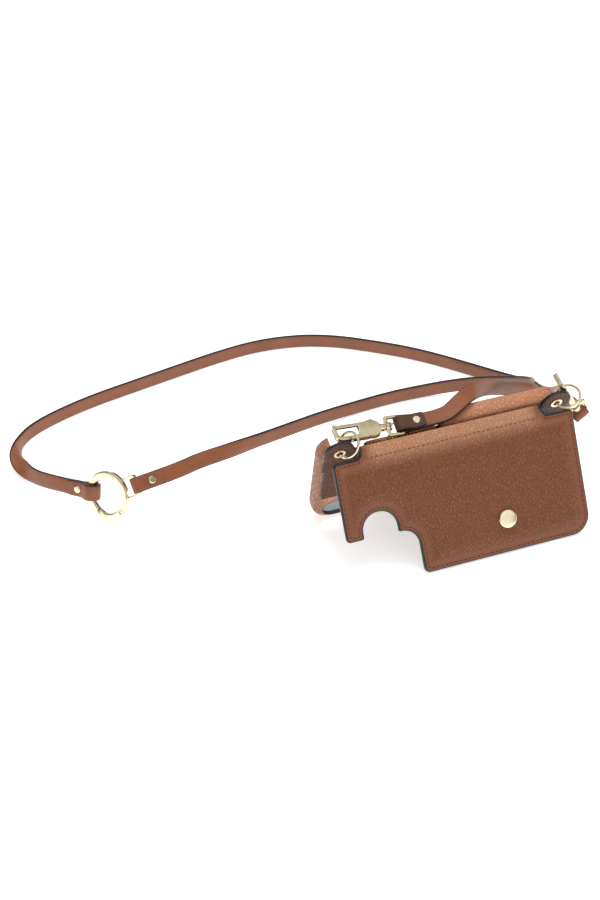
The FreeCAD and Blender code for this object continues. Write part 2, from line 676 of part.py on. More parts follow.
def make_carry_ring():
    seam_angle = math.radians(GATE_FROM)
    seam = V(math.cos(seam_angle), math.sin(seam_angle), 0) * CARRY_R
    side = Part.makeBox(15, 15, 10, V(SEAM_GAP / 2, -7.5, -5))
    gate_side = placed(side, seam, *SEAM_AXES)
    ring_side = placed(side.mirror(V(0, 0, 0), V(1, 0, 0)), seam, *SEAM_AXES)
    pivot_angle = math.radians(GATE_TO)
    pivot = V(math.cos(pivot_angle), math.sin(pivot_angle), 0) * CARRY_R
    knuckle = CARRY_BAND / 2
    tall = V(0, 0, CARRY_T / 2)
    inner_t = CARRY_T / 2 - 0.9
    ring = arc_band(GATE_TO, 360 + GATE_FROM + 12)
    ring = ring.cut(gate_side.fuse(placed(side, seam - SEAM_AXES[0] * SEAM_GAP, *SEAM_AXES)))
    seat = rod(knuckle + GAP, pivot - V(0, 0, inner_t + 0.15), UP, 2 * inner_t + 0.3)
    ring = ring.fuse(rod(knuckle, pivot - tall, UP, CARRY_T)).cut(seat)
    half = CARRY_LOOP_W / 2
    loop_t = CARRY_LOOP_BAR / 2
    loop = slab(block(CARRY_R, CARRY_LOOP_OUT, -half, half, 2.0), -loop_t, loop_t)
    inner = half - CARRY_LOOP_BAR
    loop = loop.cut(slab(block(0, CARRY_LOOP_OUT - CARRY_LOOP_BAR, -inner, inner, 0.6), -5, 5))
    loop.rotate(V(0, 0, 0), UP, CARRY_LOOP_TURN)
    ring = ring.fuse(loop)
    gate = arc_band(GATE_FROM - 12, GATE_TO).cut(ring_side)
    for low, high in ((inner_t, CARRY_T), (-CARRY_T, -inner_t)):
        gate = gate.cut(rod(knuckle + GAP, pivot + V(0, 0, low), UP, high - low))
    gate = gate.fuse(rod(knuckle, pivot - V(0, 0, inner_t), UP, 2 * inner_t))
    bore = rod(CARRY_PIN_R, pivot - V(0, 0, 5), UP, 10)
    pin = rod(CARRY_PIN_R, pivot - tall, UP, CARRY_T)
    pieces = {
        "carry_ring": ring.cut(bore).removeSplitter(),
        "carry_gate": gate.cut(rod(CARRY_PIN_R + PIN_PLAY, pivot - V(0, 0, 5), UP, 10)).removeSplitter(),
        "carry_gate_pin": pin,
    }
    return {name: placed(pieces[name], CARRY_CENTRE, CARRY_ALONG, CARRY_UP) for name in pieces}


STRAP_LONG_AWAY = V(-0.70, 0.70, -0.05)
STRAP_SHORT_AWAY = V(0.95, 0.27, -0.05)
STRAP_LEFT_AWAY = V(0.994, -0.075, 0.03)
STRAP_RIGHT_AWAY = V(-0.01, 0.99, -0.10)
LEAD = 12.0
TWIST_L = 55.0
FLAT_L = 30.0
FLOOR = STRAP_W / 2 + 0.05

# Route of the long strap, from the carry ring round the back to the right clasp
LONG_ROUTE = [
    (-231.9, 166.8, 8.6), (-239.0, 182.5, 6.0), (-242.3, 199.0, FLOOR), (-238.5, 214.0, FLOOR),
    (-228.0, 226.5, FLOOR), (-210.0, 236.5, FLOOR), (-182.0, 246.5, FLOOR), (-150.0, 253.6, FLOOR),
    (-115.0, 261.4, FLOOR), (-82.0, 268.4, FLOOR), (-52.0, 271.6, FLOOR), (-22.0, 267.0, FLOOR),
    (3.0, 255.5, FLOOR), (26.0, 238.2, FLOOR), (48.0, 219.6, FLOOR), (68.0, 197.4, FLOOR),
    (86.0, 173.5, 5.6), (100.0, 149.0, 9.0), (107.0, 126.0, 18.0), (104.0, 104.0, 31.0),
]
# Route of the short strap, from the ring's loop along the floor, round a bend and over the case's top edge
SHORT_ROUTE = [
    (-132.8, 128.4, 21.4), (-110.2, 137.7, 16.8), (-87.0, 147.7, 12.5), (-63.5, 156.3, 9.2),
    (-39.8, 163.9, 6.9), (-12.0, 168.9, 5.4), (15.0, 171.4, FLOOR), (38.0, 170.4, 5.2),
    (57.0, 166.4, 7.0), (74.7, 156.8, 11.0), (87.5, 143.5, 16.0), (95.5, 131.0, 21.5),
    (96.0, 118.5, 27.5), (88.0, 106.0, 35.5), (72.0, 94.0, 46.5), (54.0, 82.0, 59.0),
    (37.0, 69.0, 71.5), (22.0, 56.0, 80.0), (9.0, 48.5, 78.0),
]


def make_strap():
    """Two straps, their four folded ends and rivets, laid out from the hardware that holds them."""
    nodes = {}
    band_half = math.hypot(CARRY_BAND, CARRY_T) / 2
    sag = CARRY_R - math.sqrt(CARRY_R ** 2 - (STRAP_W / 2) ** 2)
    ring_bar = band_half + sag / 2
    loop_bar = math.hypot(CARRY_LOOP_BAR, CARRY_LOOP_BAR) / 2
    clasp_bar = math.hypot(LOOP_BAR_R, LOOP_BAR_R)
    loop_at = carry_point(CARRY_LOOP_TURN, CARRY_LOOP_OUT - CARRY_LOOP_BAR / 2)
    ring_at = carry_point(END_TURN, CARRY_R - sag / 2)
    bars = {}
    for name, clasp in (("left", CLASP_LEFT), ("right", CLASP_RIGHT)):
        bars[name] = clasp["nose"] + (clasp["bar"] - clasp["nose"]).normalize() * LOOP_BAR_X
    ends = {
        "ring": (ring_at, STRAP_LONG_AWAY, carry_tangent(END_TURN), ring_bar, END_L),
        "loop": (loop_at, STRAP_SHORT_AWAY, carry_tangent(CARRY_LOOP_TURN), loop_bar, END_L),
        "left": (bars["left"], STRAP_LEFT_AWAY, CLASP_LEFT["loop_across"], clasp_bar, END_L_SHORT),
        "right": (bars["right"], STRAP_RIGHT_AWAY, CLASP_RIGHT["loop_across"], clasp_bar, END_L_SHORT),
    }
    tips = {}
    leads = {}
    crosses = {}
    for name in ends:
        origin, away, across, bar_r, length = ends[name]
        across = V(across).normalize()
        along = (V(away) - across * across.dot(away)).normalize()
        end, rivet = strap_end(bar_r, length)
        nodes["strap_end_" + name] = placed(end, origin, along, across)
        nodes["strap_rivet_" + name] = placed(rivet, origin, along, across)
        tips[name] = origin + along * length
        leads[name] = tips[name] + along * LEAD
        crosses[name] = across
    straps = (("strap_long", LONG_ROUTE, "ring", "right"), ("strap_short", SHORT_ROUTE, "loop", "left"))
    for name, route, start, stop in straps:
        points = [tips[start], leads[start]] + [V(*p) for p in route] + [leads[stop], tips[stop]]
        nodes[name] = band(name, points, crosses[start], crosses[stop])
    for name in tips:
        print("tip", name, [round(v, 1) for v in tips[name]], "lead", [round(v, 1) for v in leads[name]])
    return nodes


ON_STRAP = ("strap_", "carry_")

nodes = {}
for name, shape in make_case().items():
    nodes[name] = on_case(shape)
for name, shape in make_panel().items():
    nodes[name] = on_case(shape)
for name, shape in make_flap().items():
    nodes[name] = on_flap(shape)
nodes["jump_ring_left"] = make_ring(-1)
nodes["jump_ring_right"] = make_ring(1)
nodes.update(clasp_nodes("left", CLASP_LEFT))
nodes.update(clasp_nodes("right", CLASP_RIGHT))
nodes.update(make_strap())
nodes.update(make_carry_ring())

# The origin is under the middle of the pouch, without its strap, on the floor
box = FreeCAD.BoundBox()
for name in nodes:
    if not name.startswith(ON_STRAP):
        box.add(nodes[name].optimalBoundingBox())
SHIFT = V(-box.Center.x, -box.Center.y, -box.ZMin)

os.makedirs("parts", exist_ok=True)
for name in nodes:
    nodes[name].translate(SHIFT)
    nodes[name].exportStep("parts/" + name + ".step")

print("shift", [round(v, 3) for v in SHIFT], "fold height on the case", round(HINGE_K, 3))


def anchor(name, point, axis):
    place = [round(v, 4) for v in point + SHIFT]
    print("anchor", name, *place, *[round(v, 6) for v in V(axis).normalize()])


anchor("fold", HINGE, V(-1, 0, 0))
anchor("case", CASE_FOOT, CASE_OUT)
for name, side, clasp in (("left", -1, CLASP_LEFT), ("right", 1, CLASP_RIGHT)):
    anchor("eyelet_" + name, case_point(eye_x(side), EYE_K, EAR_T / 2), CASE_OUT)
    along = (clasp["bar"] - clasp["nose"]).normalize()
    face = along.cross(clasp["across"]).normalize()
    anchor("swivel_" + name, clasp["nose"], along)
    anchor("gate_" + name, clasp["nose"] + along * GATE_PIN_X + face.cross(along) * GATE_PIN_Y, face)
anchor("carry_pin", carry_point(GATE_TO, CARRY_R), CARRY_ALONG.cross(CARRY_UP))
anchor("carry_ring", CARRY_CENTRE, CARRY_ALONG.cross(CARRY_UP))
for name in nodes:
    shape = nodes[name]
    reach = shape.optimalBoundingBox()
    print(name, shape.isValid(), len(shape.Solids), round(shape.Volume, 1), "z", round(reach.ZMin, 2))
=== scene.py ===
"""Looks of the phone pouch: leather, edge paint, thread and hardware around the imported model."""
import json
import math

import bmesh
import bpy
import numpy as np
from mathutils import Matrix, Vector
from mathutils.geometry import delaunay_2d_cdt

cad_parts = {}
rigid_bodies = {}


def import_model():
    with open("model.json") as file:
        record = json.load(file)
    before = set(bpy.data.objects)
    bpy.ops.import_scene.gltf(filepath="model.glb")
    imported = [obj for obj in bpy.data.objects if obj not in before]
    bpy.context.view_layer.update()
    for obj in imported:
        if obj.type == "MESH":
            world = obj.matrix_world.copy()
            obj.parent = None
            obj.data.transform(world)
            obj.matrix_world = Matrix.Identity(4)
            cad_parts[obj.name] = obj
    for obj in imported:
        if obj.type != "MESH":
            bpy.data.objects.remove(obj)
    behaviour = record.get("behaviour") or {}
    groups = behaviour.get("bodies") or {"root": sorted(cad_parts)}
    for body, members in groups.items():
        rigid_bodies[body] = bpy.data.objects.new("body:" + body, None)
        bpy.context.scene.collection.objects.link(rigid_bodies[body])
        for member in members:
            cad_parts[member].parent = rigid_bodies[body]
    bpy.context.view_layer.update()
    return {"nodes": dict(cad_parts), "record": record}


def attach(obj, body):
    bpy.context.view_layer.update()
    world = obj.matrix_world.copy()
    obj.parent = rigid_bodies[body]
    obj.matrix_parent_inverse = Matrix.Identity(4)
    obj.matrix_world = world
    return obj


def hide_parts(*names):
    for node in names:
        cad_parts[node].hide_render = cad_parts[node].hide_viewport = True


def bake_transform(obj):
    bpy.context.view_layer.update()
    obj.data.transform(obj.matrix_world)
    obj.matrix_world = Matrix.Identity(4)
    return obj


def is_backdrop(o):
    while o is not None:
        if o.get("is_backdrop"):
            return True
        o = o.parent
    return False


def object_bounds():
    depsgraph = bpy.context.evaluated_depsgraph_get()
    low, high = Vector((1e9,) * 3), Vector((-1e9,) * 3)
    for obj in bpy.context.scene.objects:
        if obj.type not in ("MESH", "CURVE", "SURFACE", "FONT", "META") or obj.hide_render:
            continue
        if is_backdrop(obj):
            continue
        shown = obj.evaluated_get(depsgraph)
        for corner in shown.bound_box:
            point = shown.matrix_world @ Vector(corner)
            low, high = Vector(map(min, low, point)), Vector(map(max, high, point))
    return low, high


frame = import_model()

MM = 0.001
OBJECTS = bpy.context.scene.collection.objects
NODES = frame["nodes"]
JOINTS = {joint["name"]: joint for joint in frame["record"]["behaviour"]["joints"]}
X = Vector((1, 0, 0))
UP = Vector((0, 0, 1))

# The part's two leaning planes, in millimetres as in its source, and the shift from there to the frame
LEAN_FLAP = math.radians(27.9)
LEAN_CASE = math.radians(21.2)
FLAP_UP = Vector((0, math.sin(LEAN_FLAP), math.cos(LEAN_FLAP)))
FLAP_OUT = Vector((0, -math.cos(LEAN_FLAP), math.sin(LEAN_FLAP)))
CASE_UP = Vector((0, -math.sin(LEAN_CASE), math.cos(LEAN_CASE)))
CASE_OUT = Vector((0, -math.cos(LEAN_CASE), -math.sin(LEAN_CASE)))
FOLD_H = 80.4
FLAP_T = 3.0
HINGE_K = 79.92818
HINGE_OUT = 5.2
HINGE = FLAP_UP * FOLD_H + FLAP_OUT * (FLAP_T / 2)
CASE_FOOT = HINGE - CASE_UP * HINGE_K - CASE_OUT * HINGE_OUT
SHIFT = Vector(JOINTS["flap_fold"]["pos_m"]) / MM - HINGE


def spot(point):
    """A place of the part's source, in the frame's metres."""
    return (SHIFT + Vector(point)) * MM


def on_flap(x, h, z):
    """A place along, up and out from the flap's back, in metres."""
    return (SHIFT + X * x + FLAP_UP * h + FLAP_OUT * z) * MM


def on_case(x, k, z):
    """A place along, up and out from the case's back, in metres."""
    return (SHIFT + CASE_FOOT + X * x + CASE_UP * k + CASE_OUT * z) * MM


def ease(t):
    t = min(1.0, max(0.0, t))
    return t * t * (3 - 2 * t)


# Materials


class Tree:
    """Short calls for the nodes of a material or of the light."""

    def __init__(self, owner):
        owner.use_nodes = True
        self.tree = owner.node_tree

    def node(self, kind, **settings):
        made = self.tree.nodes.new(kind)
        for key, value in settings.items():
            setattr(made, key, value)
        return made

    def link(self, source, target):
        self.tree.links.new(source, target)

    def scaled(self, per_metre):
        """Object coordinates, scaled per axis."""
        coordinates = self.node("ShaderNodeTexCoord")
        mapping = self.node("ShaderNodeMapping")
        mapping.inputs["Scale"].default_value = per_metre
        self.link(coordinates.outputs["Object"], mapping.inputs["Vector"])
        return mapping.outputs["Vector"]

    def reach(self, middle):
        """Distance along x from a middle place."""
        coordinates = self.node("ShaderNodeTexCoord")
        split = self.node("ShaderNodeSeparateXYZ")
        self.link(coordinates.outputs["Object"], split.inputs["Vector"])
        return self.math("ABSOLUTE", self.math("SUBTRACT", split.outputs["X"], middle), 0.0)

    def noise(self, vector, scale, detail=2.0, rough=0.5):
        made = self.node("ShaderNodeTexNoise")
        made.inputs["Scale"].default_value = scale
        made.inputs["Detail"].default_value = detail
        made.inputs["Roughness"].default_value = rough
        self.link(vector, made.inputs["Vector"])
        return made.outputs["Fac"]

    def remap(self, value, low, high, to_low, to_high):
        made = self.node("ShaderNodeMapRange", interpolation_type="SMOOTHSTEP")
        made.inputs["From Min"].default_value = low
        made.inputs["From Max"].default_value = high
        made.inputs["To Min"].default_value = to_low
        made.inputs["To Max"].default_value = to_high
        self.link(value, made.inputs["Value"])
        return made.outputs["Result"]

    def mix(self, factor, first, second):
        made = self.node("ShaderNodeMix", data_type="RGBA")
        self.link(factor, made.inputs["Factor"])
        for socket, colour in ((made.inputs["A"], first), (made.inputs["B"], second)):
            if isinstance(colour, tuple):
                socket.default_value = (*colour, 1)
            else:
                self.link(colour, socket)
        return made.outputs["Result"]

    def math(self, operation, first, second):
        made = self.node("ShaderNodeMath", operation=operation)
        for socket, value in zip(made.inputs, (first, second)):
            if isinstance(value, (int, float)):
                socket.default_value = value
            else:
                self.link(value, socket)
        return made.outputs["Value"]


class Shader(Tree):
    """A material with one Principled shader."""

    def __init__(self, name):
        self.material = bpy.data.materials.new(name)
        super().__init__(self.material)
        self.shader = self.tree.nodes["Principled BSDF"]

    def set(self, **values):
        for key, value in values.items():
            self.shader.inputs[key.replace("_", " ")].default_value = value

    def bump(self, height, depth, strength=1.0):
        made = self.node("ShaderNodeBump")
        made.inputs["Strength"].default_value = strength
        made.inputs["Distance"].default_value = depth
        self.link(height, made.inputs["Height"])
        self.link(made.outputs["Normal"], self.shader.inputs["Normal"])

    def colour(self, source):
        self.link(source, self.shader.inputs["Base Color"])

    def roughness(self, source):
        self.link(source, self.shader.inputs["Roughness"])


def pebbled_leather(name, base, deep, cell_mm, depth_mm, rough, pressed_and_top_lit=False, shaded_ends=None):
    """Grained leather: domed pebbles between darker creases, with soft cloudy colour changes.

    With pressed_and_top_lit, the mesh's own values say how much pebbling is left in the flattened margins,
    and how much painted light makes the flap's top band paler. Painted shade darkens the leather between
    two distances, in metres, from the middle of the case, towards its ends.
    """
    s = Shader(name)
    per_cell = 1000 / cell_mm
    long_cell = per_cell * 0.62
    vector = s.scaled((per_cell, long_cell, long_cell))
    wander = s.node("ShaderNodeTexNoise")
    wander.inputs["Scale"].default_value = 0.55
    wander.inputs["Detail"].default_value = 2.0
    s.link(vector, wander.inputs["Vector"])
    bent = s.node("ShaderNodeVectorMath", operation="MULTIPLY_ADD")
    bent.inputs[1].default_value = (0.42, 0.42, 0.42)
    s.link(wander.outputs["Color"], bent.inputs[0])
    s.link(vector, bent.inputs[2])
    cells = s.node("ShaderNodeTexVoronoi", feature="DISTANCE_TO_EDGE")
    cells.inputs["Scale"].default_value = 1.0
    s.link(bent.outputs["Vector"], cells.inputs["Vector"])
    dome = s.remap(cells.outputs["Distance"], 0.0, 0.34, 0.0, 1.0)
    if pressed_and_top_lit:
        grain = s.node("ShaderNodeAttribute", attribute_name="grain")
        hollow = s.math("SUBTRACT", 1.0, dome)
        dome = s.math("SUBTRACT", 1.0, s.math("MULTIPLY", hollow, grain.outputs["Fac"]))
    fine = s.noise(vector, 3.2, 3.0)
    cloud = s.noise(s.scaled((40, 40, 40)), 1.0, 2.0)
    body = s.mix(s.remap(cloud, 0.3, 0.7, 0.0, 1.0), base, tuple(c * 0.93 for c in base))
    if pressed_and_top_lit:
        body = s.mix(grain.outputs["Fac"], tuple(c * 0.87 for c in base), body)
        # Painted light: the flap's top band is painted paler, for the light it catches as it tilts back.
        pale = s.node("ShaderNodeAttribute", attribute_name="top_light")
        body = s.mix(pale.outputs["Fac"], body, TOP_LIGHT_TAN)
        deep = s.mix(pale.outputs["Fac"], deep, tuple(c * 0.72 for c in TOP_LIGHT_TAN))
    # Painted shade: the leather is darkened towards both ends of the case, where its walls turn away from
    # the light.
    if shaded_ends:
        end_shade_share = s.remap(s.reach(SHIFT.x * MM), *shaded_ends, 0.0, 1.0)
        body = s.mix(end_shade_share, body, tuple(c * END_SHADE for c in base))
        deep = s.mix(end_shade_share, deep, tuple(c * END_SHADE for c in deep))
    shade = s.remap(dome, 0.0, 0.75, 0.0, 1.0)
    s.colour(s.mix(shade, deep, body))
    s.roughness(s.remap(dome, 0.0, 1.0, min(1.0, rough + 0.2), rough))
    height = s.math("ADD", dome, s.math("MULTIPLY", fine, 0.25))
    s.bump(height, depth_mm * MM, 0.85)
    s.set(Specular_IOR_Level=0.42)
    return s.material


def smooth_leather(name, base, deep, rough):
    """Strap leather: nearly smooth, with fine pores and gentle mottling."""
    s = Shader(name)
    vector = s.scaled((1000, 1000, 1000))
    pores = s.noise(vector, 1.7, 4.0, 0.65)
    cloud = s.noise(s.scaled((55, 55, 55)), 1.0, 3.0)
    body = s.mix(s.remap(cloud, 0.32, 0.7, 0.0, 1.0), base, tuple(c * 0.84 for c in base))
    s.colour(s.mix(s.remap(pores, 0.28, 0.5, 0.0, 1.0), deep, body))
    s.roughness(s.remap(pores, 0.3, 0.7, rough + 0.14, rough))
    s.bump(pores, 0.00006, 0.7)
    s.set(Specular_IOR_Level=0.45)
    return s.material


def edge_paint(name, base):
    """Painted leather edge: thick dark lacquer with a slightly uneven gloss."""
    s = Shader(name)
    vector = s.scaled((1000, 1000, 1000))
    ripple = s.noise(vector, 0.9, 3.0)
    s.colour(s.mix(s.remap(ripple, 0.3, 0.75, 0.0, 1.0), base, tuple(c * 1.7 + 0.004 for c in base)))
    s.roughness(s.remap(ripple, 0.3, 0.7, 0.3, 0.46))
    s.bump(ripple, 0.00008, 0.6)
    return s.material


def metal(name, base, tint, rough):
    """Polished plated metal: faint polishing marks and a slow drift in gloss."""
    s = Shader(name)
    drift = s.noise(s.scaled((220, 220, 220)), 1.0, 2.0)
    marks = s.noise(s.scaled((2600, 900, 2600)), 1.0, 3.0, 0.6)
    s.colour(s.mix(s.remap(drift, 0.3, 0.7, 0.0, 1.0), base, tint))
    gloss = s.remap(drift, 0.3, 0.7, rough * 0.8, rough * 1.3)
    s.roughness(s.math("ADD", gloss, s.math("MULTIPLY", marks, 0.05)))
    s.bump(marks, 0.000004, 0.4)
    s.set(Metallic=1.0)
    return s.material


def suede(name, base, deep):
    """Short soft nap, for linings and board."""
    s = Shader(name)
    vector = s.scaled((1000, 1000, 1000))
    nap = s.noise(vector, 2.4, 5.0, 0.7)
    s.colour(s.mix(s.remap(nap, 0.3, 0.7, 0.0, 1.0), deep, base))
    s.bump(nap, 0.0002, 0.8)
    s.set(Roughness=0.92, Specular_IOR_Level=0.2, Sheen_Weight=0.25, Sheen_Roughness=0.5)
    return s.material


def plastic(name, base, rough):
    """Moulded plastic with a fine grain."""
    s = Shader(name)
    grain = s.noise(s.scaled((3000, 3000, 3000)), 1.0, 2.0)
    s.colour(s.mix(grain, base, tuple(c * 1.25 for c in base)))
    s.roughness(s.remap(grain, 0.3, 0.7, rough, rough + 0.12))
    s.bump(grain, 0.00003, 0.6)
    return s.material


def thread(name, base, deep):
    """Twisted sewing thread."""
    s = Shader(name)
    waves = s.node("ShaderNodeTexWave", bands_direction="DIAGONAL")
    waves.inputs["Scale"].default_value = 0.5
    waves.inputs["Distortion"].default_value = 1.0
    s.link(s.scaled((1600, 1600, 1600)), waves.inputs["Vector"])
    s.colour(s.mix(waves.outputs["Fac"], deep, base))
    s.bump(waves.outputs["Fac"], 0.00012, 0.8)
    s.set(Roughness=0.6)
    return s.material


def studio_floor(name):
    """Pale sweep, lit a little from below so that it stays white round the object."""
    s = Shader(name)
    haze = s.noise(s.scaled((3, 3, 3)), 1.0, 1.0)
    s.colour(s.mix(haze, (0.89, 0.89, 0.89), (0.91, 0.91, 0.91)))
    s.set(Roughness=0.9, Specular_IOR_Level=0.05, Emission_Color=(1, 1, 1, 1), Emission_Strength=0.6)
    return s.material


# Paler tan painted on the flap's top band for the light it catches, not a colour of the leather.
TOP_LIGHT_TAN = (0.575, 0.272, 0.15)
# How dark the painted shade at the case's ends makes the leather.
END_SHADE = 0.58
# The flap leather also carries the painted light of its top band.
TAN = pebbled_leather("tan_pebbled_leather", (0.24, 0.079, 0.028), (0.165, 0.048, 0.0155), 1.5, 0.3, 0.42,
                      pressed_and_top_lit=True)
# The case leather gets painted shade towards its ends.
TAN_CASE = pebbled_leather("tan_case_leather", (0.67, 0.315, 0.178), (0.50, 0.216, 0.115), 1.75, 0.34, 0.4,
                           shaded_ends=(0.066, 0.0745))
DARK = pebbled_leather("dark_panel_leather", (0.138, 0.043, 0.0155), (0.074, 0.021, 0.008), 1.2, 0.14, 0.45)
STRAP = smooth_leather("strap_leather", (0.29, 0.1, 0.042), (0.215, 0.07, 0.0275), 0.36)
# The strap leather darkened: painted shade for the left end, whose face lies in shadow.
SHADED_STRAP = smooth_leather("shaded_strap_leather", (0.10, 0.037, 0.02), (0.067, 0.024, 0.012), 0.36)
PAINT = edge_paint("edge_paint", (0.012, 0.011, 0.013))
GOLD = metal("pale_gold_plate", (0.94, 0.83, 0.58), (0.87, 0.76, 0.51), 0.1)
# The same plating as GOLD, darkened: painted shade for the darker reflections on the clasps.
SHADED_GOLD = metal("shaded_clasp_gold_plate", (0.80, 0.695, 0.46), (0.70, 0.60, 0.39), 0.1)
STEEL = metal("closure_steel", (0.62, 0.61, 0.6), (0.55, 0.55, 0.56), 0.3)
LINING = suede("tan_lining", (0.30, 0.16, 0.095), (0.2, 0.1, 0.055))
BAY = suede("bay_lining", (0.38, 0.41, 0.42), (0.29, 0.315, 0.325))
BLACK = plastic("black_shell", (0.014, 0.014, 0.016), 0.38)
BOARD = suede("grey_board", (0.32, 0.30, 0.27), (0.25, 0.23, 0.2))
THREAD = thread("brown_thread", (0.15, 0.034, 0.012), (0.07, 0.016, 0.006))
FOLD_THREAD = thread("fold_thread", (0.22, 0.085, 0.04), (0.13, 0.045, 0.02))


# Mesh helpers

CREASE = math.radians(48)
CUT_CREASE = math.radians(40)


def show(name, mesh, crease, body, replaced=(), ride=True):
    """Show a mesh as a smooth piece that rides on a body and stands for CAD nodes."""
    mesh.shade_smooth()
    mesh.set_sharp_from_angle(angle=crease)
    mesh.update()
    piece = bpy.data.objects.new(name, mesh)
    OBJECTS.link(piece)
    if ride:
        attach(piece, body)
    if replaced:
        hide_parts(*replaced)
    return piece


def new_piece(name, verts, faces, materials, indices, body, replaced=(), ride=True):
    """A piece made of points in metres and faces, each with the number of its material."""
    mesh = bpy.data.meshes.new(name)
    mesh.from_pydata([tuple(v) for v in verts], [], faces)
    for material in materials:
        mesh.materials.append(material)
    if indices is not None:
        mesh.polygons.foreach_set("material_index", indices)
    return show(name, mesh, CREASE, body, replaced, ride)


def rounded(corners, step):
    """Points along a closed outline of (x, y, radius) corners."""
    count = len(corners)
    points = []
    for index, (x, y, radius) in enumerate(corners):
        here = Vector((x, y))
        inward = (Vector(corners[index - 1][:2]) - here).normalized()
        onward = (Vector(corners[(index + 1) % count][:2]) - here).normalized()
        half = inward.angle(onward) / 2
        if radius <= 0:
            points.append(here)
            continue
        reach = radius / math.tan(half)
        centre = here + (inward + onward).normalized() * (radius / math.sin(half))
        turn = math.pi - 2 * half
        parts = max(2, math.ceil(turn * radius / step), math.ceil(turn / 0.2))
        first = here + inward * reach - centre
        last = here + onward * reach - centre
        for part in range(parts + 1):
            points.append(centre + first.slerp(last, part / parts) * radius)
    outline = []
    for index, point in enumerate(points):
        following = points[(index + 1) % len(points)]
        gap = (following - point).length
        if gap < 1e-4:
            continue
        parts = max(1, round(gap / step))
        for part in range(parts):
            outline.append(point.lerp(following, part / parts))
    return outline


def edge_distance(points, outline):
    """Distance of each point from a closed outline."""
    start = np.array(outline, float)
    run = np.roll(start, -1, axis=0) - start
    length = np.maximum((run * run).sum(1), 1e-12)
    found = np.empty(len(points))
    for low in range(0, len(points), 2000):
        some = points[low:low + 2000, None, :] - start[None]
        share = np.clip((some * run[None]).sum(2) / length[None], 0, 1)
        gap = some - share[..., None] * run[None]
        found[low:low + 2000] = np.sqrt((gap * gap).sum(2).min(1))
    return found


def inside(points, outline):
    """Whether each point lies within a closed outline."""
    start = np.array(outline, float)
    stop = np.roll(start, -1, axis=0)
    held = np.zeros(len(points), bool)
    for (x0, y0), (x1, y1) in zip(start, stop):
        if y0 == y1:
            continue
        crossing = (y0 > points[:, 1]) != (y1 > points[:, 1])
        at = x0 + (points[:, 1] - y0) * (x1 - x0) / (y1 - y0)
        held ^= crossing & (points[:, 0] < at)
    return held


def inset_line(outline, inset):
    """Outline moved inwards, without the stretches that corners swallow."""
    count = len(outline)
    moved = []
    for index, point in enumerate(outline):
        way = (outline[(index + 1) % count] - outline[index - 1]).normalized()
        moved.append(point + Vector((-way.y, way.x)) * inset)
    gaps = edge_distance(np.array([tuple(p) for p in moved]), outline)
    return [p for p, gap in zip(moved, gaps) if gap > inset - 0.06]


def plate(name, outline, step, front, back, materials, body, replaced=(), ride=True, rows=(),
          rims=(0.5,)):
    """Closed plate over a flat outline, with each vertex's y and its distance to the edge.

    front and back give its faces from x, y and that distance. rims are the insets of the rows that round
    its edge, and the paint on the edge ends at the last of them. rows are more levels for the grid.
    """
    corners = np.array(outline, float)
    low, high = corners.min(0), corners.max(0)
    levels = list(np.arange(low[1] + step / 2, high[1], step * 0.87)) + list(rows)
    grid = []
    for row, y in enumerate(levels):
        shift = step / 2 if row % 2 else 0.0
        grid += [(x, y) for x in np.arange(low[0] + shift, high[0], step)]
    grid = np.array(grid)
    grid = grid[inside(grid, outline)]
    grid = grid[edge_distance(grid, outline) > rims[-1] + 0.45 * step]
    flat = [Vector(p) for p in outline]
    lines = []
    for rim in rims:
        line = inset_line(outline, rim)
        first = len(flat)
        flat += line
        for index, point in enumerate(line):
            following = (index + 1) % len(line)
            if (line[following] - point).length < 2 * step:
                lines.append((first + index, first + following))
    flat += [Vector(p) for p in grid]
    made = delaunay_2d_cdt(flat, lines, [list(range(len(outline)))], 1, 1e-6)
    points = np.array([tuple(p) for p in made[0]])
    faces = [list(f) for f in made[2]]
    reach = edge_distance(points, outline)
    count = len(points)
    verts = [front(x, y, d) for (x, y), d in zip(points, reach)]
    verts += [back(x, y, d) for (x, y), d in zip(points, reach)]
    sides = [(a, b) for face in faces for a, b in zip(face, face[1:] + face[:1])]
    known = set(sides)
    border = [(a, b) for a, b in sides if (b, a) not in known]
    shown = faces + [[i + count for i in reversed(f)] for f in faces]
    painted = [max(reach[i] for i in f) < rims[-1] + 0.05 for f in faces]
    indices = [1 if p else 0 for p in painted] + [1 if p else 2 for p in painted]
    shown += [[b, a, a + count, b + count] for a, b in border]
    indices += [1] * len(border)
    piece = new_piece(name, verts, shown, materials, indices, body, replaced, ride)
    return piece, np.tile(points[:, 1], 2), np.tile(reach, 2)


def smooth_line(points, density):
    """Points read from the smooth curve that has these points as its control points."""
    data = bpy.data.curves.new("route", "CURVE")
    data.dimensions = "3D"
    spline = data.splines.new("NURBS")
    spline.points.add(len(points) - 1)
    for place, point in zip(spline.points, points):
        place.co = (*point, 1)
    spline.order_u = 3
    spline.use_endpoint_u = True
    spline.resolution_u = density
    holder = bpy.data.objects.new("route", data)
    OBJECTS.link(holder)
    bpy.context.view_layer.update()
    mesh = bpy.data.meshes.new_from_object(holder.evaluated_get(bpy.context.evaluated_depsgraph_get()))
    line = [v.co.copy() for v in mesh.vertices]
    bpy.data.meshes.remove(mesh)
    bpy.data.objects.remove(holder)
    bpy.data.curves.remove(data)
    return line


# Section of a leather strip: half-width share, half-thickness share, and whether the next side is painted
STRIP_SECTION = [
    (-0.90, -1.0, False), (-0.45, -1.03, False), (0.0, -1.05, False), (0.45, -1.03, False),
    (0.90, -1.0, True), (0.975, -0.72, True), (1.0, 0.0, True), (0.975, 0.72, True),
    (0.90, 1.0, False), (0.45, 1.03, False), (0.0, 1.05, False), (-0.45, 1.03, False),
    (-0.90, 1.0, True), (-0.975, 0.72, True), (-1.0, 0.0, True), (-0.975, -0.72, True),
]


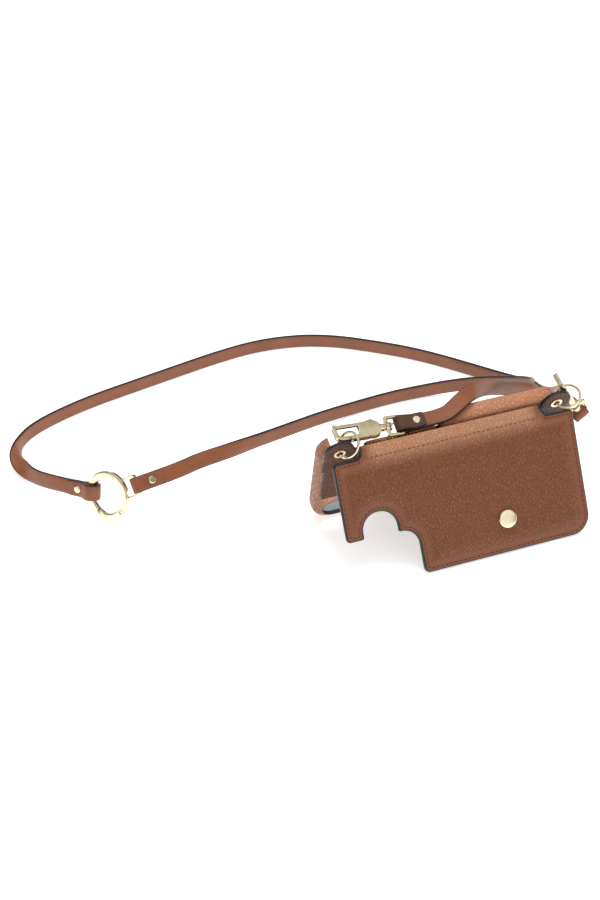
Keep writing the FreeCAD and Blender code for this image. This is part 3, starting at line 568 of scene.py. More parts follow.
def strip(name, line, wides, thicks, materials, body, replaced=()):
    """Leather strip along a line. wides and thicks are half-size vectors at each point."""
    verts = []
    for point, wide, thick in zip(line, wides, thicks):
        verts += [point + wide * a + thick * b for a, b, painted in STRIP_SECTION]
    ring = len(STRIP_SECTION)
    faces = []
    indices = []
    for row in range(len(line) - 1):
        for col in range(ring):
            nxt = (col + 1) % ring
            base = row * ring
            faces.append([base + col, base + nxt, base + ring + nxt, base + ring + col])
            indices.append(1 if STRIP_SECTION[col][2] else 0)
    last = (len(line) - 1) * ring
    faces.append([last + col for col in range(ring)])
    faces.append(list(reversed(range(ring))))
    indices += [1, 1]
    return new_piece(name, verts, faces, materials, indices, body, replaced)


def headings(line):
    """Direction of a line at each of its points."""
    count = len(line)
    return [(line[min(i + 1, count - 1)] - line[max(i - 1, 0)]).normalized() for i in range(count)]


# Strap: folded ends on the hardware, and the two free lengths between them

STRAP_W = 10.0
STRAP_T = 2.0
FLAT_L = 30.0
TWIST_L = 55.0
LEAD = 12.0
RIVET_AT = 9.5
EYE_PLAY = 0.35
FLOOR = STRAP_W / 2 + 0.05
END_L = 18.0
END_L_SHORT = 15.0
LONG_ROUTE = [
    (-231.9, 166.8, 8.6), (-239.0, 182.5, 6.0), (-242.3, 199.0, FLOOR), (-238.5, 214.0, FLOOR),
    (-228.0, 226.5, FLOOR), (-210.0, 236.5, FLOOR), (-182.0, 246.5, FLOOR), (-150.0, 253.6, FLOOR),
    (-115.0, 261.4, FLOOR), (-82.0, 268.4, FLOOR), (-52.0, 271.6, FLOOR), (-22.0, 267.0, FLOOR),
    (3.0, 255.5, FLOOR), (26.0, 238.2, FLOOR), (48.0, 219.6, FLOOR), (68.0, 197.4, FLOOR),
    (86.0, 173.5, 5.6), (100.0, 149.0, 9.0), (107.0, 126.0, 18.0), (104.0, 104.0, 31.0),
]
SHORT_ROUTE = [
    (-132.8, 128.4, 21.4), (-110.2, 137.7, 16.8), (-87.0, 147.7, 12.5), (-63.5, 156.3, 9.2),
    (-39.8, 163.9, 6.9), (-12.0, 168.9, 5.4), (15.0, 171.4, FLOOR), (38.0, 170.4, 5.2),
    (57.0, 166.4, 7.0), (74.7, 156.8, 11.0), (87.5, 143.5, 16.0), (95.5, 131.0, 21.5),
    (96.0, 118.5, 27.5), (88.0, 106.0, 35.5), (72.0, 94.0, 46.5), (54.0, 82.0, 59.0),
    (37.0, 69.0, 71.5), (22.0, 56.0, 80.0), (9.0, 48.5, 78.0),
]


# Carry ring that stands on its edge, and the clasps' strap bars beyond their noses
CARRY_X = -192.9
CARRY_Y = 122.2
CARRY_R = 13.6
CARRY_BAND = 4.6
CARRY_T = 3.4
CARRY_LOOP_OUT = 25.6
CARRY_LOOP_BAR = 1.9
CARRY_TURN = math.radians(-49.0)
CARRY_LEAN = math.radians(22.0)
CARRY_ALONG = Vector((math.cos(CARRY_TURN), math.sin(CARRY_TURN), 0))
CARRY_FACE = Vector((math.sin(CARRY_TURN), -math.cos(CARRY_TURN), 0))
CARRY_UP = CARRY_FACE * -math.sin(CARRY_LEAN) + UP * math.cos(CARRY_LEAN)
CARRY_HEIGHT = (CARRY_R + CARRY_BAND / 2) * math.cos(CARRY_LEAN) + CARRY_T / 2 * math.sin(CARRY_LEAN)
LOOP_AT = math.radians(33.0)
RING_END_AT = math.radians(185.0)
CLASP_BAR_AT = 40.85
CLASP_BAR_R = 0.95


def carry_point(angle, radius):
    centre = Vector((CARRY_X, CARRY_Y, CARRY_HEIGHT))
    return centre + (CARRY_ALONG * math.cos(angle) + CARRY_UP * math.sin(angle)) * radius


def carry_tangent(angle):
    return CARRY_UP * math.cos(angle) - CARRY_ALONG * math.sin(angle)


def case_way(x, k, z):
    return X * x + CASE_UP * k + CASE_OUT * z


def clasp_bar(side):
    """Middle of the bar that holds the strap, along the clasp's swivel axis."""
    swivel = JOINTS["clasp_swivel_" + side]
    return Vector(swivel["pos_m"]) / MM - SHIFT + Vector(swivel["axis"]) * CLASP_BAR_AT


SAG = CARRY_R - math.sqrt(CARRY_R ** 2 - (STRAP_W / 2) ** 2)
RING_BAR = math.hypot(CARRY_BAND, CARRY_T) / 2 + SAG / 2
LOOP_BAR = math.hypot(CARRY_LOOP_BAR, CARRY_LOOP_BAR) / 2
CLASP_BAR = math.hypot(CLASP_BAR_R, CLASP_BAR_R)

# Each folded end: its bar's middle, the way it leaves, the bar's direction and reach, and its length
ENDS = {
    "ring": (carry_point(RING_END_AT, CARRY_R - SAG / 2), Vector((-0.70, 0.70, -0.05)),
             carry_tangent(RING_END_AT), RING_BAR, END_L),
    "loop": (carry_point(LOOP_AT, CARRY_LOOP_OUT - CARRY_LOOP_BAR / 2), Vector((0.95, 0.27, -0.05)),
             carry_tangent(LOOP_AT), LOOP_BAR, END_L),
    "left": (clasp_bar("left"), Vector((0.994, -0.075, 0.03)),
             case_way(0.059, -0.003471, -0.996161), CLASP_BAR, END_L_SHORT),
    "right": (clasp_bar("right"), Vector((-0.01, 0.99, -0.10)),
              case_way(-0.849, -0.468705, 0.246154), CLASP_BAR, END_L_SHORT),
}


def end_frame(name):
    """A folded end's bar, its directions along, across and out, the bar's reach and its length."""
    origin, away, bar_way, bar, length = ENDS[name]
    across = bar_way.normalized()
    along = (away - across * across.dot(away)).normalized()
    return origin, along, across, along.cross(across), bar, length


def tip(name, more=0.0):
    origin, along, *others, length = end_frame(name)
    return origin + along * (length + more)


def free_strap(name, route, start, stop):
    """A strap's free length: upright in the middle, turned at each end to meet its folded end."""
    points = [tip(start), tip(start, LEAD)] + [Vector(p) for p in route] + [tip(stop, LEAD), tip(stop)]
    line = smooth_line([spot(p) for p in points], 7)
    ways = headings(line)
    run = [0.0]
    for a, b in zip(line, line[1:]):
        run.append(run[-1] + (b - a).length / MM)
    first, last = end_frame(start)[2], end_frame(stop)[2]
    wides = []
    thicks = []
    for way, done in zip(ways, run):
        across = (UP - way * UP.dot(way)).normalized()
        at_start = 1 - (done - FLAT_L) / TWIST_L
        at_end = 1 - (run[-1] - done - FLAT_L) / TWIST_L
        for share, target in ((at_start, first), (at_end, last)):
            if share > 0:
                wanted = (target - way * way.dot(target)).normalized()
                angle = across.angle(wanted)
                if across.cross(wanted).dot(way) < 0:
                    angle = -angle
                across = Matrix.Rotation(angle * ease(share), 3, way) @ across
        wides.append(across.normalized() * (STRAP_W / 2 * MM))
        thicks.append(way.cross(across).normalized() * (STRAP_T / 2 * MM))
    made = strip(name + "_leather", line, wides, thicks, [STRAP, PAINT], "phone_case",
                 [name])
    return made, line, run[-1] * MM


def folded_end(name, leather):
    """The strap's end turned round its bar and riveted back on itself, with a skived tip."""
    origin, along, across, rise, bar, length = end_frame(name)
    half = STRAP_T / 2
    eye = (bar + EYE_PLAY + half) * 1.02
    outline = [(length + 1.5, 0.0), (length - 2.0, -0.1), (RIVET_AT + 3.0, -half), (RIVET_AT, -half)]
    outline.append((RIVET_AT - 2.6, -half - 0.05))
    for turn in range(-75, -286, -30):
        angle = math.radians(turn)
        outline.append((eye * math.cos(angle), eye * math.sin(angle)))
    outline += [(RIVET_AT - 2.6, half + 0.05), (RIVET_AT, half), (RIVET_AT + 3.0, half + 0.1)]
    outline += [(length - 3.2, half + 0.8), (length - 0.8, half + 0.9)]
    line = smooth_line([spot(origin + along * x + rise * z) for x, z in outline], 5)
    ways = headings(line)
    count = len(line)
    wides = []
    thicks = []
    for index, way in enumerate(ways):
        left = (count - 1 - index) / count
        slim = 0.35 + 0.65 * ease(left / 0.09)
        wides.append(across * (STRAP_W / 2 * MM * (0.93 + 0.07 * ease(left / 0.05))))
        thicks.append(way.cross(across).normalized() * (half * MM * slim))
    piece = "strap_end_" + name
    return strip(piece + "_leather", line, wides, thicks, [leather, PAINT], "phone_case",
                 [piece])


long_strap, long_line, long_length = free_strap("strap_long", LONG_ROUTE, "ring", "right")
short_strap, short_line, short_length = free_strap("strap_short", SHORT_ROUTE, "loop", "left")
# The left end wears the darkened strap leather, painted shade for its face in shadow.
for end_name, end_leather in (("ring", STRAP), ("loop", STRAP), ("left", SHADED_STRAP), ("right", STRAP)):
    folded_end(end_name, end_leather)

# Flap: padded face, painted edge, lining, and the leather that rolls over the fold and down the case's back

FLAP_LEFT = -73.0
FLAP_RIGHT = 78.0
FOLD_LEFT = -55.5
FOLD_RIGHT = 57.5
NOTCH_H = 75.8
LEG_H = 28.6
SCALLOP = (-62.2, -41.0, 42.9)
STEP = (-29.7, 28.2)
STITCH_IN = 2.4
STITCH_PITCH = 2.9
FOLD_STITCH_H = 75.4
FAR_IN = 20.0
RIM_DROP = 1.1
RIM_W = 1.3
PAD_FROM = 3.4
PAD_SLOPE = 8.0
PAD_T = 1.6
PAD_PUFF = 0.6
STUD = (25.5, 20.6)
ROLL_R = 2.1
ROLL_SKIN = 1.2
ROLL_FROM = math.radians(19.0)
ROLL_TO = math.pi - LEAN_FLAP - LEAN_CASE
BEND_FROM = 68.5
LINING_FROM = 76.5
PALE_FROM = 66.0
PALE_L = 13.0
ROLL_H = FOLD_H + ROLL_R * math.sin(ROLL_FROM)
ROLL_Z = FLAP_T / 2 + ROLL_R * math.cos(ROLL_FROM)
ROLL_END = ROLL_H + ROLL_R * (ROLL_TO - ROLL_FROM)
STRIP_L = 17.3
PANEL_T = 1.6


def flap_outline():
    """Flat outline of the flap with its camera scallop and step, and of the leather past its fold."""
    arch = (SCALLOP[1] - SCALLOP[0]) / 2 - 0.2
    top = ROLL_END + STRIP_L
    corners = [(FLAP_LEFT, LEG_H, 2.5), (SCALLOP[0], LEG_H, 1.5), (SCALLOP[0], SCALLOP[2], arch)]
    corners += [(SCALLOP[1], SCALLOP[2], arch), (SCALLOP[1], STEP[1], 1.0), (STEP[0], STEP[1], 9.8)]
    corners += [(STEP[0], 0, 3.5), (FLAP_RIGHT, 0, 12.0), (FLAP_RIGHT, NOTCH_H, 3.0)]
    corners += [(FOLD_RIGHT + 3.4, NOTCH_H, 1.0), (FOLD_RIGHT, FOLD_H, 1.0), (FOLD_RIGHT, top, 1.0)]
    corners += [(FOLD_LEFT, top, 1.0), (FOLD_LEFT, FOLD_H, 0), (FOLD_LEFT - 1.0, NOTCH_H, 3.0)]
    corners += [(FLAP_LEFT, NOTCH_H, 3.0)]
    return rounded(corners, 0.9)


def roll_place(x, s, depth):
    """Place on the rolled leather past the flap's top, depth below its outside."""
    if s <= ROLL_END:
        turn = ROLL_FROM + (s - ROLL_H) / ROLL_R
        out = FLAP_OUT * math.cos(turn) + FLAP_UP * math.sin(turn)
        return spot(HINGE + X * x + out * (ROLL_R - depth))
    down = s - ROLL_END
    start = HINGE_OUT - ROLL_R
    z = start + (PANEL_T + 0.05 - start) * ease(down / 6)
    return on_case(x, HINGE_K - down, z + depth)


def flap_height(x, s, d):
    """How far the flap's face stands from its back. The padding dips under the stud that pulls it in."""
    rim = -RIM_DROP * (1 - min(d / RIM_W, 1)) ** 2
    groove = -0.3 * math.exp(-((d - STITCH_IN) / 0.6) ** 2)
    puff = PAD_T + PAD_PUFF * ease((math.hypot(x - STUD[0], s - STUD[1]) - 5.0) / 9.0)
    face = FLAP_T + rim + groove + puff * ease((d - PAD_FROM) / PAD_SLOPE)
    if s > BEND_FROM:
        share = (s - BEND_FROM) / (ROLL_H - BEND_FROM)
        face += (ROLL_Z - face) * share * share
        face -= 0.2 * math.exp(-((s - FOLD_STITCH_H) / 0.5) ** 2)
    return face


def flap_front(x, s, d):
    if s <= ROLL_H:
        return on_flap(x, s, flap_height(x, s, d))
    return roll_place(x, s, 0.25 * (1 - min(d / 0.6, 1)) ** 2)


def flap_back(x, s, d):
    rim = 0.6 * (1 - min(d / 1.1, 1)) ** 2
    if s <= ROLL_H:
        inner = FLAP_T / 2 + (ROLL_R - ROLL_SKIN) * math.cos(ROLL_FROM)
        return on_flap(x, s, rim + (inner - rim) * ease((s - LINING_FROM) / (ROLL_H - LINING_FROM)))
    return roll_place(x, s, ROLL_SKIN - 0.2 * (1 - min(d / 0.6, 1)) ** 2)


roll_rows = [ROLL_H + 0.35 * i for i in range(-4, 24)]
flap, flap_levels, flap_edges = plate(
    "flap_and_fold", flap_outline(), 0.95, flap_front, flap_back, [TAN, PAINT, LINING], "flap",
    ride=False, rows=roll_rows, rims=(0.35, 0.75, 1.15))
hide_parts("flap_leather", "flap_lining", "hinge_strip")
grain = flap.data.attributes.new("grain", "FLOAT", "POINT")
grain.data.foreach_set("value", [0.2 + 0.8 * ease((d - PAD_FROM) / 4.2) for d in flap_edges])
# Painted light: how much paler the top band below the fold is painted, for the light it catches.
top_light = flap.data.attributes.new("top_light", "FLOAT", "POINT")
paler = [ease((s - PALE_FROM) / PALE_L) * ease((d - 2.0) / 7.0) for s, d in zip(flap_levels, flap_edges)]
top_light.data.foreach_set("value", paler)
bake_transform(flap)


def stitch_spots(points, pitch):
    """Ends of each stitch along a line of flat points."""
    run = [0.0]
    for a, b in zip(points, points[1:]):
        run.append(run[-1] + (b - a).length)
    count = round(run[-1] / pitch)
    real = run[-1] / count
    xs, ys = zip(*points)

    def at(share):
        return Vector((np.interp(share * real, run, xs), np.interp(share * real, run, ys)))

    return [(at(number + 0.12), at(number + 0.88)) for number in range(count)]


# Stations of a stitch: share of its length, share of its girth, and lift
STITCH = [
    (0.0, 0.35, -0.32), (0.12, 0.8, -0.04), (0.5, 1.0, 0.10), (0.88, 0.8, -0.04), (1.0, 0.35, -0.32),
]


def stitches(name, spots, place, out, material, body, radius=0.3):
    """Raised thread stitches: each is a short plump strand whose ends dive into the leather."""
    verts = []
    faces = []
    around = 7
    for first, last in spots:
        a, b = place(first), place(last)
        way = (b - a).normalized()
        side = way.cross(out).normalized()
        base = len(verts)
        for share, girth, lift in STITCH:
            middle = a.lerp(b, share) + out * (lift * MM)
            for step in range(around):
                angle = 2 * math.pi * step / around
                reach = side * math.cos(angle) + out * math.sin(angle)
                verts.append(middle + reach * (radius * girth * MM))
        for row in range(len(STITCH) - 1):
            for step in range(around):
                nxt = (step + 1) % around
                low = base + row * around
                faces.append([low + step, low + around + step, low + around + nxt, low + nxt])
        faces.append([base + step for step in range(around)])
        top = base + (len(STITCH) - 1) * around
        faces.append([top + step for step in reversed(range(around))])
    return new_piece(name, verts, faces, [material], None, body)


def from_gap(line):
    """A broken loop of points, turned so that it starts just past its widest gap."""
    gap_at = max(range(len(line)), key=lambda i: (line[i] - line[i - 1]).length)
    return line[gap_at:] + line[:gap_at]


edge_line = from_gap([p for p in inset_line(flap_outline(), STITCH_IN) if p.y < NOTCH_H - 0.9])
fold_line = [Vector((x, FOLD_STITCH_H)) for x in np.arange(FOLD_LEFT + 1.5, FOLD_RIGHT - 1.0, 1.0)]


def flap_spot(point):
    return on_flap(point.x, point.y, flap_height(point.x, point.y, STITCH_IN) + 0.02)


def fold_spot(point):
    return on_flap(point.x, point.y, flap_height(point.x, point.y, FAR_IN) + 0.02)


flap_spots = stitch_spots(edge_line, STITCH_PITCH)
fold_spots = stitch_spots(fold_line, STITCH_PITCH)
stitches("flap_edge_stitching", flap_spots, flap_spot, FLAP_OUT, THREAD, "flap")
stitches("flap_fold_stitching", fold_spots, fold_spot, FLAP_OUT, FOLD_THREAD, "flap")

# Panel with ears on the case's back

EYES = (-66.0, 71.0)
EAR_R = 9.3
EAR_TOP = 85.8
EAR_ROOT = 57.6
EAR_T = 2.4
EAR_ROUND = EAR_R - 0.05
PANEL_X = 73.35
PANEL_TOP = 76.2
PANEL_LOW = 8.0
PANEL_STEP = 27.0
PANEL_STEP_TO = -35.35


def ear_corners(eye, inner):
    """Corners of an ear, from its root at the panel's end to the panel's top on its inner side."""
    outer_x = eye - inner * EAR_R
    inner_x = eye + inner * EAR_R
    corners = [(-inner * PANEL_X, EAR_ROOT, 0.8), (outer_x, EAR_ROOT, 1.0), (outer_x, EAR_TOP, EAR_ROUND)]
    return corners + [(inner_x, EAR_TOP, EAR_ROUND), (inner_x, PANEL_TOP, 1.0)]


panel_corners = [(-PANEL_X, PANEL_STEP, 2.0), (PANEL_STEP_TO, PANEL_STEP, 4.0)]
panel_corners += [(PANEL_STEP_TO, PANEL_LOW, 4.0), (PANEL_X, PANEL_LOW, 8.0)]
panel_corners += ear_corners(EYES[1], -1)
panel_corners += reversed(ear_corners(EYES[0], 1))
panel_outline = rounded(panel_corners, 1.2)


def panel_front(x, k, d):
    near = min(abs(x - eye) for eye in EYES)
    thick = PANEL_T + (EAR_T - PANEL_T) * ease((k - 68) / 6) * ease((EAR_R + 1.5 - near) / 1.5)
    rim = 0.35 * (1 - min(d / 0.8, 1)) ** 2
    groove = 0.1 * math.exp(-((d - 1.9) / 0.4) ** 2)
    return on_case(x, k, thick - rim - groove)


def panel_back(x, k, d):
    return on_case(x, k, 0.02 + 0.3 * (1 - min(d / 0.8, 1)) ** 2)


plate("back_panel_leather", panel_outline, 1.4, panel_front, panel_back, [DARK, PAINT, DARK], "phone_case",
      ["back_panel"])

# Card pocket on the flap's inside

POCKET = (-21.0, 72.0, 6.0, 57.0)
POCKET_T = 1.7
POCKET_STITCH_IN = 1.8
THUMB_TOP = 11.0
THUMB_FOOT = 7.0
THUMB_DEEP = 7.0
left, right, low, high = POCKET
middle = (left + right) / 2
pocket_corners = [(left, low, 3.0), (right, low, 3.0), (right, high, 3.0)]
pocket_corners += [(middle + THUMB_TOP, high, 1.5), (middle + THUMB_FOOT, high - THUMB_DEEP, 6.0)]
pocket_corners += [(middle - THUMB_FOOT, high - THUMB_DEEP, 6.0), (middle - THUMB_TOP, high, 1.5)]
pocket_corners += [(left, high, 3.0)]


def pocket_inner(x, h, d):
    return on_flap(x, h, -0.03)


def pocket_outer(x, h, d):
    rim = 0.5 * (1 - min(d / 1.2, 1)) ** 2
    groove = 0.2 * math.exp(-((d - POCKET_STITCH_IN) / 0.45) ** 2)
    return on_flap(x, h, rim + groove - POCKET_T)


pocket_outline = rounded(pocket_corners, 1.4)
plate("card_pocket_leather", pocket_outline, 1.8, pocket_inner, pocket_outer, [LINING, PAINT, TAN], "flap",
      ["card_pocket"])
pocket_line = from_gap([p for p in inset_line(pocket_outline, POCKET_STITCH_IN) if p.y < POCKET[3] - 3])


def pocket_spot(point):
    return on_flap(point.x, point.y, -POCKET_T + 0.16)


pocket_spots = stitch_spots(pocket_line, STITCH_PITCH)
stitches("card_pocket_stitching", pocket_spots, pocket_spot, -FLAP_OUT, THREAD, "flap")

# Leather wrap of the case, with rounded walls and its openings

CASE_HALF = 76.35
CASE_H = 77.5
CASE_R = 12.5
CASE_T = 11.0
# The wrap's section as inset from the case's outline and height from its back: outside first, then inside
WRAP_PROFILE = [
    (30, 0.0), (18, 0.0), (9, 0.0), (5.2, -0.02), (3.8, -0.14), (2.55, -0.5), (1.5, -1.08), (0.75, -2.0),
    (0.28, -3.15), (0.05, -4.35), (-0.1, -5.6), (-0.08, -7.0), (0.05, -8.4), (0.22, -9.6), (0.5, -10.45),
    (0.88, -10.8),
    (0.9, -9.0), (0.9, -5.0), (1.2, -3.4), (2.2, -1.75), (3.6, -1.0), (5.2, -0.9), (9, -0.9), (18, -0.9),
    (30, -0.9),
]
# Openings: ends of the button gap and its foot, then left, right, low and high of each other one
GAP_X = (-69.15, -1.15)
GAP_FOOT = 74.5
RELIEF = (-69.15, -49.35, 66.5, 90.0)
KEY = (-46.35, -22.35, -5.0, 3.0)
PORT = (72.35, 82.0, 19.0, 58.0)
CAMERA_HOLE = (-70.95, -39.75, 3.0, 19.6)
CAMERA_HOLE_R = 8.25
OPENING_R = 2.0
WALL_FROM = -2.6


def case_loop(inset):
    """The case's outline with its rounded corners, moved inwards."""
    radius = max(CASE_R - inset, 1.0)
    low_x, high_x = -CASE_HALF + inset, CASE_HALF - inset
    corners = [(low_x, inset), (high_x, inset), (high_x, CASE_H - inset), (low_x, CASE_H - inset)]
    loop = []
    for index, (x, y) in enumerate(corners):
        here = Vector((x, y))
        following = Vector(corners[(index + 1) % 4])
        inward = (Vector(corners[index - 1]) - here).normalized()
        onward = (following - here).normalized()
        centre = here + (inward + onward) * radius
        for part in range(13):
            angle = math.radians(90 * part / 12)
            loop.append(centre - onward * radius * math.cos(angle) - inward * radius * math.sin(angle))
        stop = here + onward * radius
        goal = following - onward * radius
        parts = 36 if index % 2 == 0 else 16
        loop += [stop.lerp(goal, part / parts) for part in range(1, parts)]
    return loop


def prism(name, corners, low, high):
    """Cutter with a rounded outline on the case, between two depths."""
    outline = rounded(corners, 1.2)
    verts = [on_case(p.x, p.y, low) for p in outline] + [on_case(p.x, p.y, high) for p in outline]
    count = len(outline)
    faces = [list(reversed(range(count))), [count + i for i in range(count)]]
    faces += [[i, (i + 1) % count, count + (i + 1) % count, count + i] for i in range(count)]
    mesh = bpy.data.meshes.new(name)
    mesh.from_pydata([tuple(v) for v in verts], [], faces)
    mesh.materials.append(PAINT)
    cutter = bpy.data.objects.new(name, mesh)
    OBJECTS.link(cutter)
    return cutter


def box_corners(x0, x1, y0, y1, radius):
    return [(x0, y0, radius), (x1, y0, radius), (x1, y1, radius), (x0, y1, radius)]


def case_rings(profile, closed):
    """Points and sides of a shell that runs round the case along a profile of (inset, z)."""
    verts = []
    for inset, z in profile:
        verts += [on_case(p.x, p.y, z) for p in case_loop(inset)]
    ring = len(case_loop(0))
    rows = len(profile)
    faces = []
    for row in range(rows if closed else rows - 1):
        low = row * ring
        high = (row + 1) % rows * ring
        for col in range(ring):
            nxt = (col + 1) % ring
            faces.append([high + col, high + nxt, low + nxt, low + col])
    if not closed:
        faces.append(list(range(ring)))
        faces.append([(rows - 1) * ring + col for col in reversed(range(ring))])
    return verts, faces


def cut_openings(piece):
    """Cut the button gap, ring relief, key, port and camera openings, with painted edges."""
    far = -CASE_T - 1
    above = 95.0
    left, right = GAP_X
    buttons = [(left, GAP_FOOT, 3.5), (right, GAP_FOOT, 3.5), (right, CASE_H - 0.2, 3.2)]
    buttons += [(right + 9.15, CASE_H + 0.6, 0), (right + 9.15, above, 0)]
    buttons += [(left - 6.15, above, 0), (left - 6.15, CASE_H, 0), (left, CASE_H, 2.0)]
    cutters = [prism("buttons", buttons, far, 1)]
    cutters.append(prism("relief", box_corners(*RELIEF, OPENING_R), far, 1))
    cutters.append(prism("key", box_corners(*KEY, OPENING_R), far, WALL_FROM))
    cutters.append(prism("port", box_corners(*PORT, OPENING_R), far, WALL_FROM))
    cutters.append(prism("camera", box_corners(*CAMERA_HOLE, CAMERA_HOLE_R), WALL_FROM - 0.1, 1))
    for cutter in cutters:
        change = piece.modifiers.new(cutter.name, "BOOLEAN")
        change.operation = "DIFFERENCE"
        change.solver = "EXACT"
        change.material_mode = "TRANSFER"
        change.object = cutter
    bpy.context.view_layer.update()
    cut = bpy.data.meshes.new_from_object(piece.evaluated_get(bpy.context.evaluated_depsgraph_get()))
    piece.modifiers.clear()
    piece.data = cut
    for cutter in cutters:
        bpy.data.objects.remove(cutter)
    cut.shade_smooth()
    cut.set_sharp_from_angle(angle=CUT_CREASE)


verts, faces = case_rings(WRAP_PROFILE, False)
wrap = new_piece("case_leather_wrap", verts, faces, [TAN_CASE, PAINT], None, "phone_case",
                 ["case_leather_back", "case_leather_edge"])
cut_openings(wrap)
WALL_LINING = [(2.55, -2.75), (2.55, -9.9), (2.85, -9.9), (2.85, -2.75)]
verts, faces = case_rings(WALL_LINING, True)
wall_lining = new_piece("bay_wall_lining", verts, faces, [BAY, PAINT], None, "phone_case")
cut_openings(wall_lining)

# Bound and stitched edge along the button gap

BINDING = (-48.0, -5.0)
BINDING_K = 74.75
BINDING_Z = -1.35
BINDING_HALF_W = 1.5
BINDING_HALF_T = 0.45
BINDING_PITCH = 2.2
SEAM_Z = -0.7
BINDING_STEPS = 40
binding_line = []
for step in range(BINDING_STEPS + 1):
    along = BINDING[0] + (BINDING[1] - BINDING[0]) * step / BINDING_STEPS
    binding_line.append(on_case(along, BINDING_K, BINDING_Z))
binding_wides = [CASE_OUT * (BINDING_HALF_W * MM)] * len(binding_line)
binding_thicks = [CASE_UP * (BINDING_HALF_T * MM)] * len(binding_line)
strip("gap_binding", binding_line, binding_wides, binding_thicks, [TAN_CASE, TAN_CASE], "phone_case")
binding_seam = [Vector((x, SEAM_Z)) for x in np.arange(BINDING[0] + 0.5, BINDING[1], 0.5)]


def binding_spot(point):
    return on_case(point.x, BINDING_K + BINDING_HALF_T + 0.01, point.y)


binding_spots = stitch_spots(binding_seam, BINDING_PITCH)
stitches("gap_binding_stitching", binding_spots, binding_spot, CASE_UP, THREAD, "phone_case",
         0.34)

# Hardware: the part's own solids with broken edges and a polish

FLAT_ANGLE = math.radians(0.6)
EDGE_ANGLE = math.radians(38)
POLISH_CREASE = math.radians(35)


def polished(node, edge_mm, material, body):
    """A copy of a CAD node with its sharp edges broken, which stands for it."""
    work = bmesh.new()
    work.from_mesh(NODES[node].data)
    bmesh.ops.remove_doubles(work, verts=work.verts, dist=0.002 * MM)
    bmesh.ops.dissolve_limit(work, angle_limit=FLAT_ANGLE, verts=work.verts, edges=work.edges)
    if edge_mm:
        sharp = [e for e in work.edges if len(e.link_faces) == 2 and e.calc_face_angle(0) > EDGE_ANGLE]
        bmesh.ops.bevel(work, geom=sharp, offset=edge_mm * MM, offset_type="OFFSET", segments=3,
                        profile=0.5, affect="EDGES", clamp_overlap=True)
    bmesh.ops.triangulate(work, faces=[f for f in work.faces if len(f.verts) > 4])
    mesh = bpy.data.meshes.new(node + "_polished")
    work.to_mesh(mesh)
    work.free()
    mesh.materials.append(material)
    return show(node + "_polished", mesh, POLISH_CREASE, body, [node])


bodies = frame["record"]["behaviour"]["bodies"]
body_of = {node: body for body, members in bodies.items() for node in members}
CLASP_PARTS = ("body", "gate", "gate_pin", "neck", "loop")

# Width of the broken edge on each metal node, in millimetres
gold_nodes = {"eyelet_left": 0.15, "eyelet_right": 0.15, "jump_ring_left": 0, "jump_ring_right": 0}
gold_nodes["flap_stud"] = 0.2
for side in ("left", "right"):
    for part in CLASP_PARTS:
        gold_nodes[f"clasp_{side}_{part}"] = 0.12 if part == "gate_pin" else 0.32
for end_name in ENDS:
    gold_nodes["strap_rivet_" + end_name] = 0.1
for node in ("carry_ring", "carry_gate", "carry_gate_pin"):
    gold_nodes[node] = 0.2
for node, edge_mm in gold_nodes.items():
    # The clasps take the darkened copy of the gold, painted shade for their darker reflections.
    plating = SHADED_GOLD if node.startswith("clasp") else GOLD
    polished(node, edge_mm, plating, body_of[node])

plain_nodes = {"case_shell": BLACK, "case_lining": BAY, "camera_rim": BLACK, "flap_board": BOARD}
plain_nodes.update(closure_disc_case=STEEL, closure_disc_flap=STEEL)
for node, material in plain_nodes.items():
    NODES[node].data.materials.clear()
    NODES[node].data.materials.append(material)

# Floor, light and camera

FLOOR_HALF = 40
floor_corners = [(x * FLOOR_HALF, y * FLOOR_HALF, 0) for x, y in ((-1, -1), (1, -1), (1, 1), (-1, 1))]
floor_mesh = bpy.data.meshes.new("floor")
floor_mesh.from_pydata(floor_corners, [], [(0, 1, 2, 3)])
floor_mesh.materials.append(studio_floor("studio_floor"))
floor = bpy.data.objects.new("floor", floor_mesh)
floor.location.z = -0.0001
OBJECTS.link(floor)
floor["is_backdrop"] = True

scene = bpy.context.scene
scene.view_settings.view_transform = "Standard"
scene.world = bpy.data.worlds.new("studio")
studio = Tree(scene.world)
coordinates = studio.node("ShaderNodeTexCoord")
split = studio.node("ShaderNodeSeparateXYZ")
ramp = studio.node("ShaderNodeValToRGB")
studio.link(coordinates.outputs["Generated"], split.inputs["Vector"])
studio.link(split.outputs["Z"], ramp.inputs["Fac"])
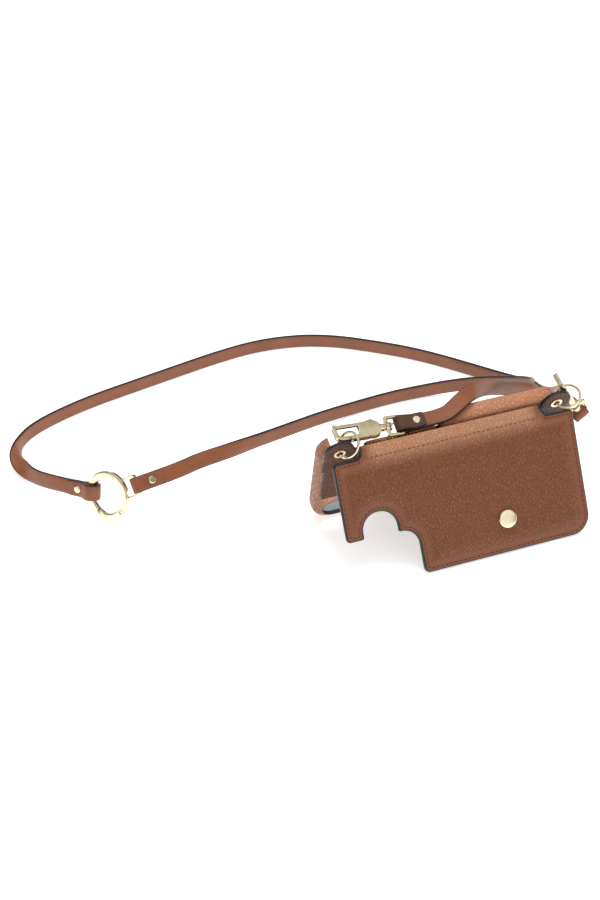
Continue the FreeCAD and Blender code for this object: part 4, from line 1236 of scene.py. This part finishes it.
# Brightness of the studio by height, from the horizon to straight above
SKY = [(0.0, 1.0), (0.09, 1.0), (0.13, 0.08), (0.3, 0.10), (0.55, 0.28), (0.8, 0.6), (1.0, 0.95)]
while len(ramp.color_ramp.elements) < len(SKY):
    ramp.color_ramp.elements.new(0.5)
for element, (place, level) in zip(ramp.color_ramp.elements, SKY):
    element.position = place
    element.color = (level, level, level, 1)

# A soft white board low in front, seen in the polished faces
facing = studio.node("ShaderNodeVectorMath", operation="DOT_PRODUCT")
facing.inputs[1].default_value = (0.1, -0.92, 0.38)
studio.link(coordinates.outputs["Generated"], facing.inputs[0])
joined = studio.node("ShaderNodeMix", data_type="RGBA", blend_type="ADD")
joined.inputs["Factor"].default_value = 1.0
studio.link(ramp.outputs["Color"], joined.inputs["A"])
studio.link(studio.remap(facing.outputs["Value"], 0.86, 0.96, 0.0, 0.9), joined.inputs["B"])
background = studio.tree.nodes["Background"]
background.inputs["Strength"].default_value = 1.0
studio.link(joined.outputs["Result"], background.inputs["Color"])


def sun(name, towards, strength, spread):
    """A soft key light that leaves no mirror image in the metal."""
    data = bpy.data.lights.new(name, "SUN")
    data.energy = strength
    data.angle = math.radians(spread)
    lamp = bpy.data.objects.new(name, data)
    lamp.rotation_mode = "QUATERNION"
    lamp.rotation_quaternion = Vector(towards).to_track_quat("-Z", "Y")
    lamp.visible_glossy = False
    OBJECTS.link(lamp)


sun("key", (-0.22, -0.2, -1.0), 1.75, 45)

VIEW_FROM = Vector((-0.268127, -0.594676, 0.53599))
VIEW_HEADING = math.radians(-15.5444)
VIEW_TILT = math.radians(53.5424)
VIEW_ROLL = math.radians(-3.7789)
camera_data = bpy.data.cameras.new("photo")
camera_data.lens = 54.187
camera_data.sensor_width = 36.0
camera = bpy.data.objects.new("photo", camera_data)
turned = Matrix.Rotation(VIEW_HEADING, 4, "Z") @ Matrix.Rotation(VIEW_TILT, 4, "X")
camera.matrix_world = Matrix.Translation(VIEW_FROM) @ turned @ Matrix.Rotation(VIEW_ROLL, 4, "Z")
camera_data.clip_start = 0.02
camera_data.clip_end = 100
OBJECTS.link(camera)
scene.camera = camera

low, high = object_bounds()
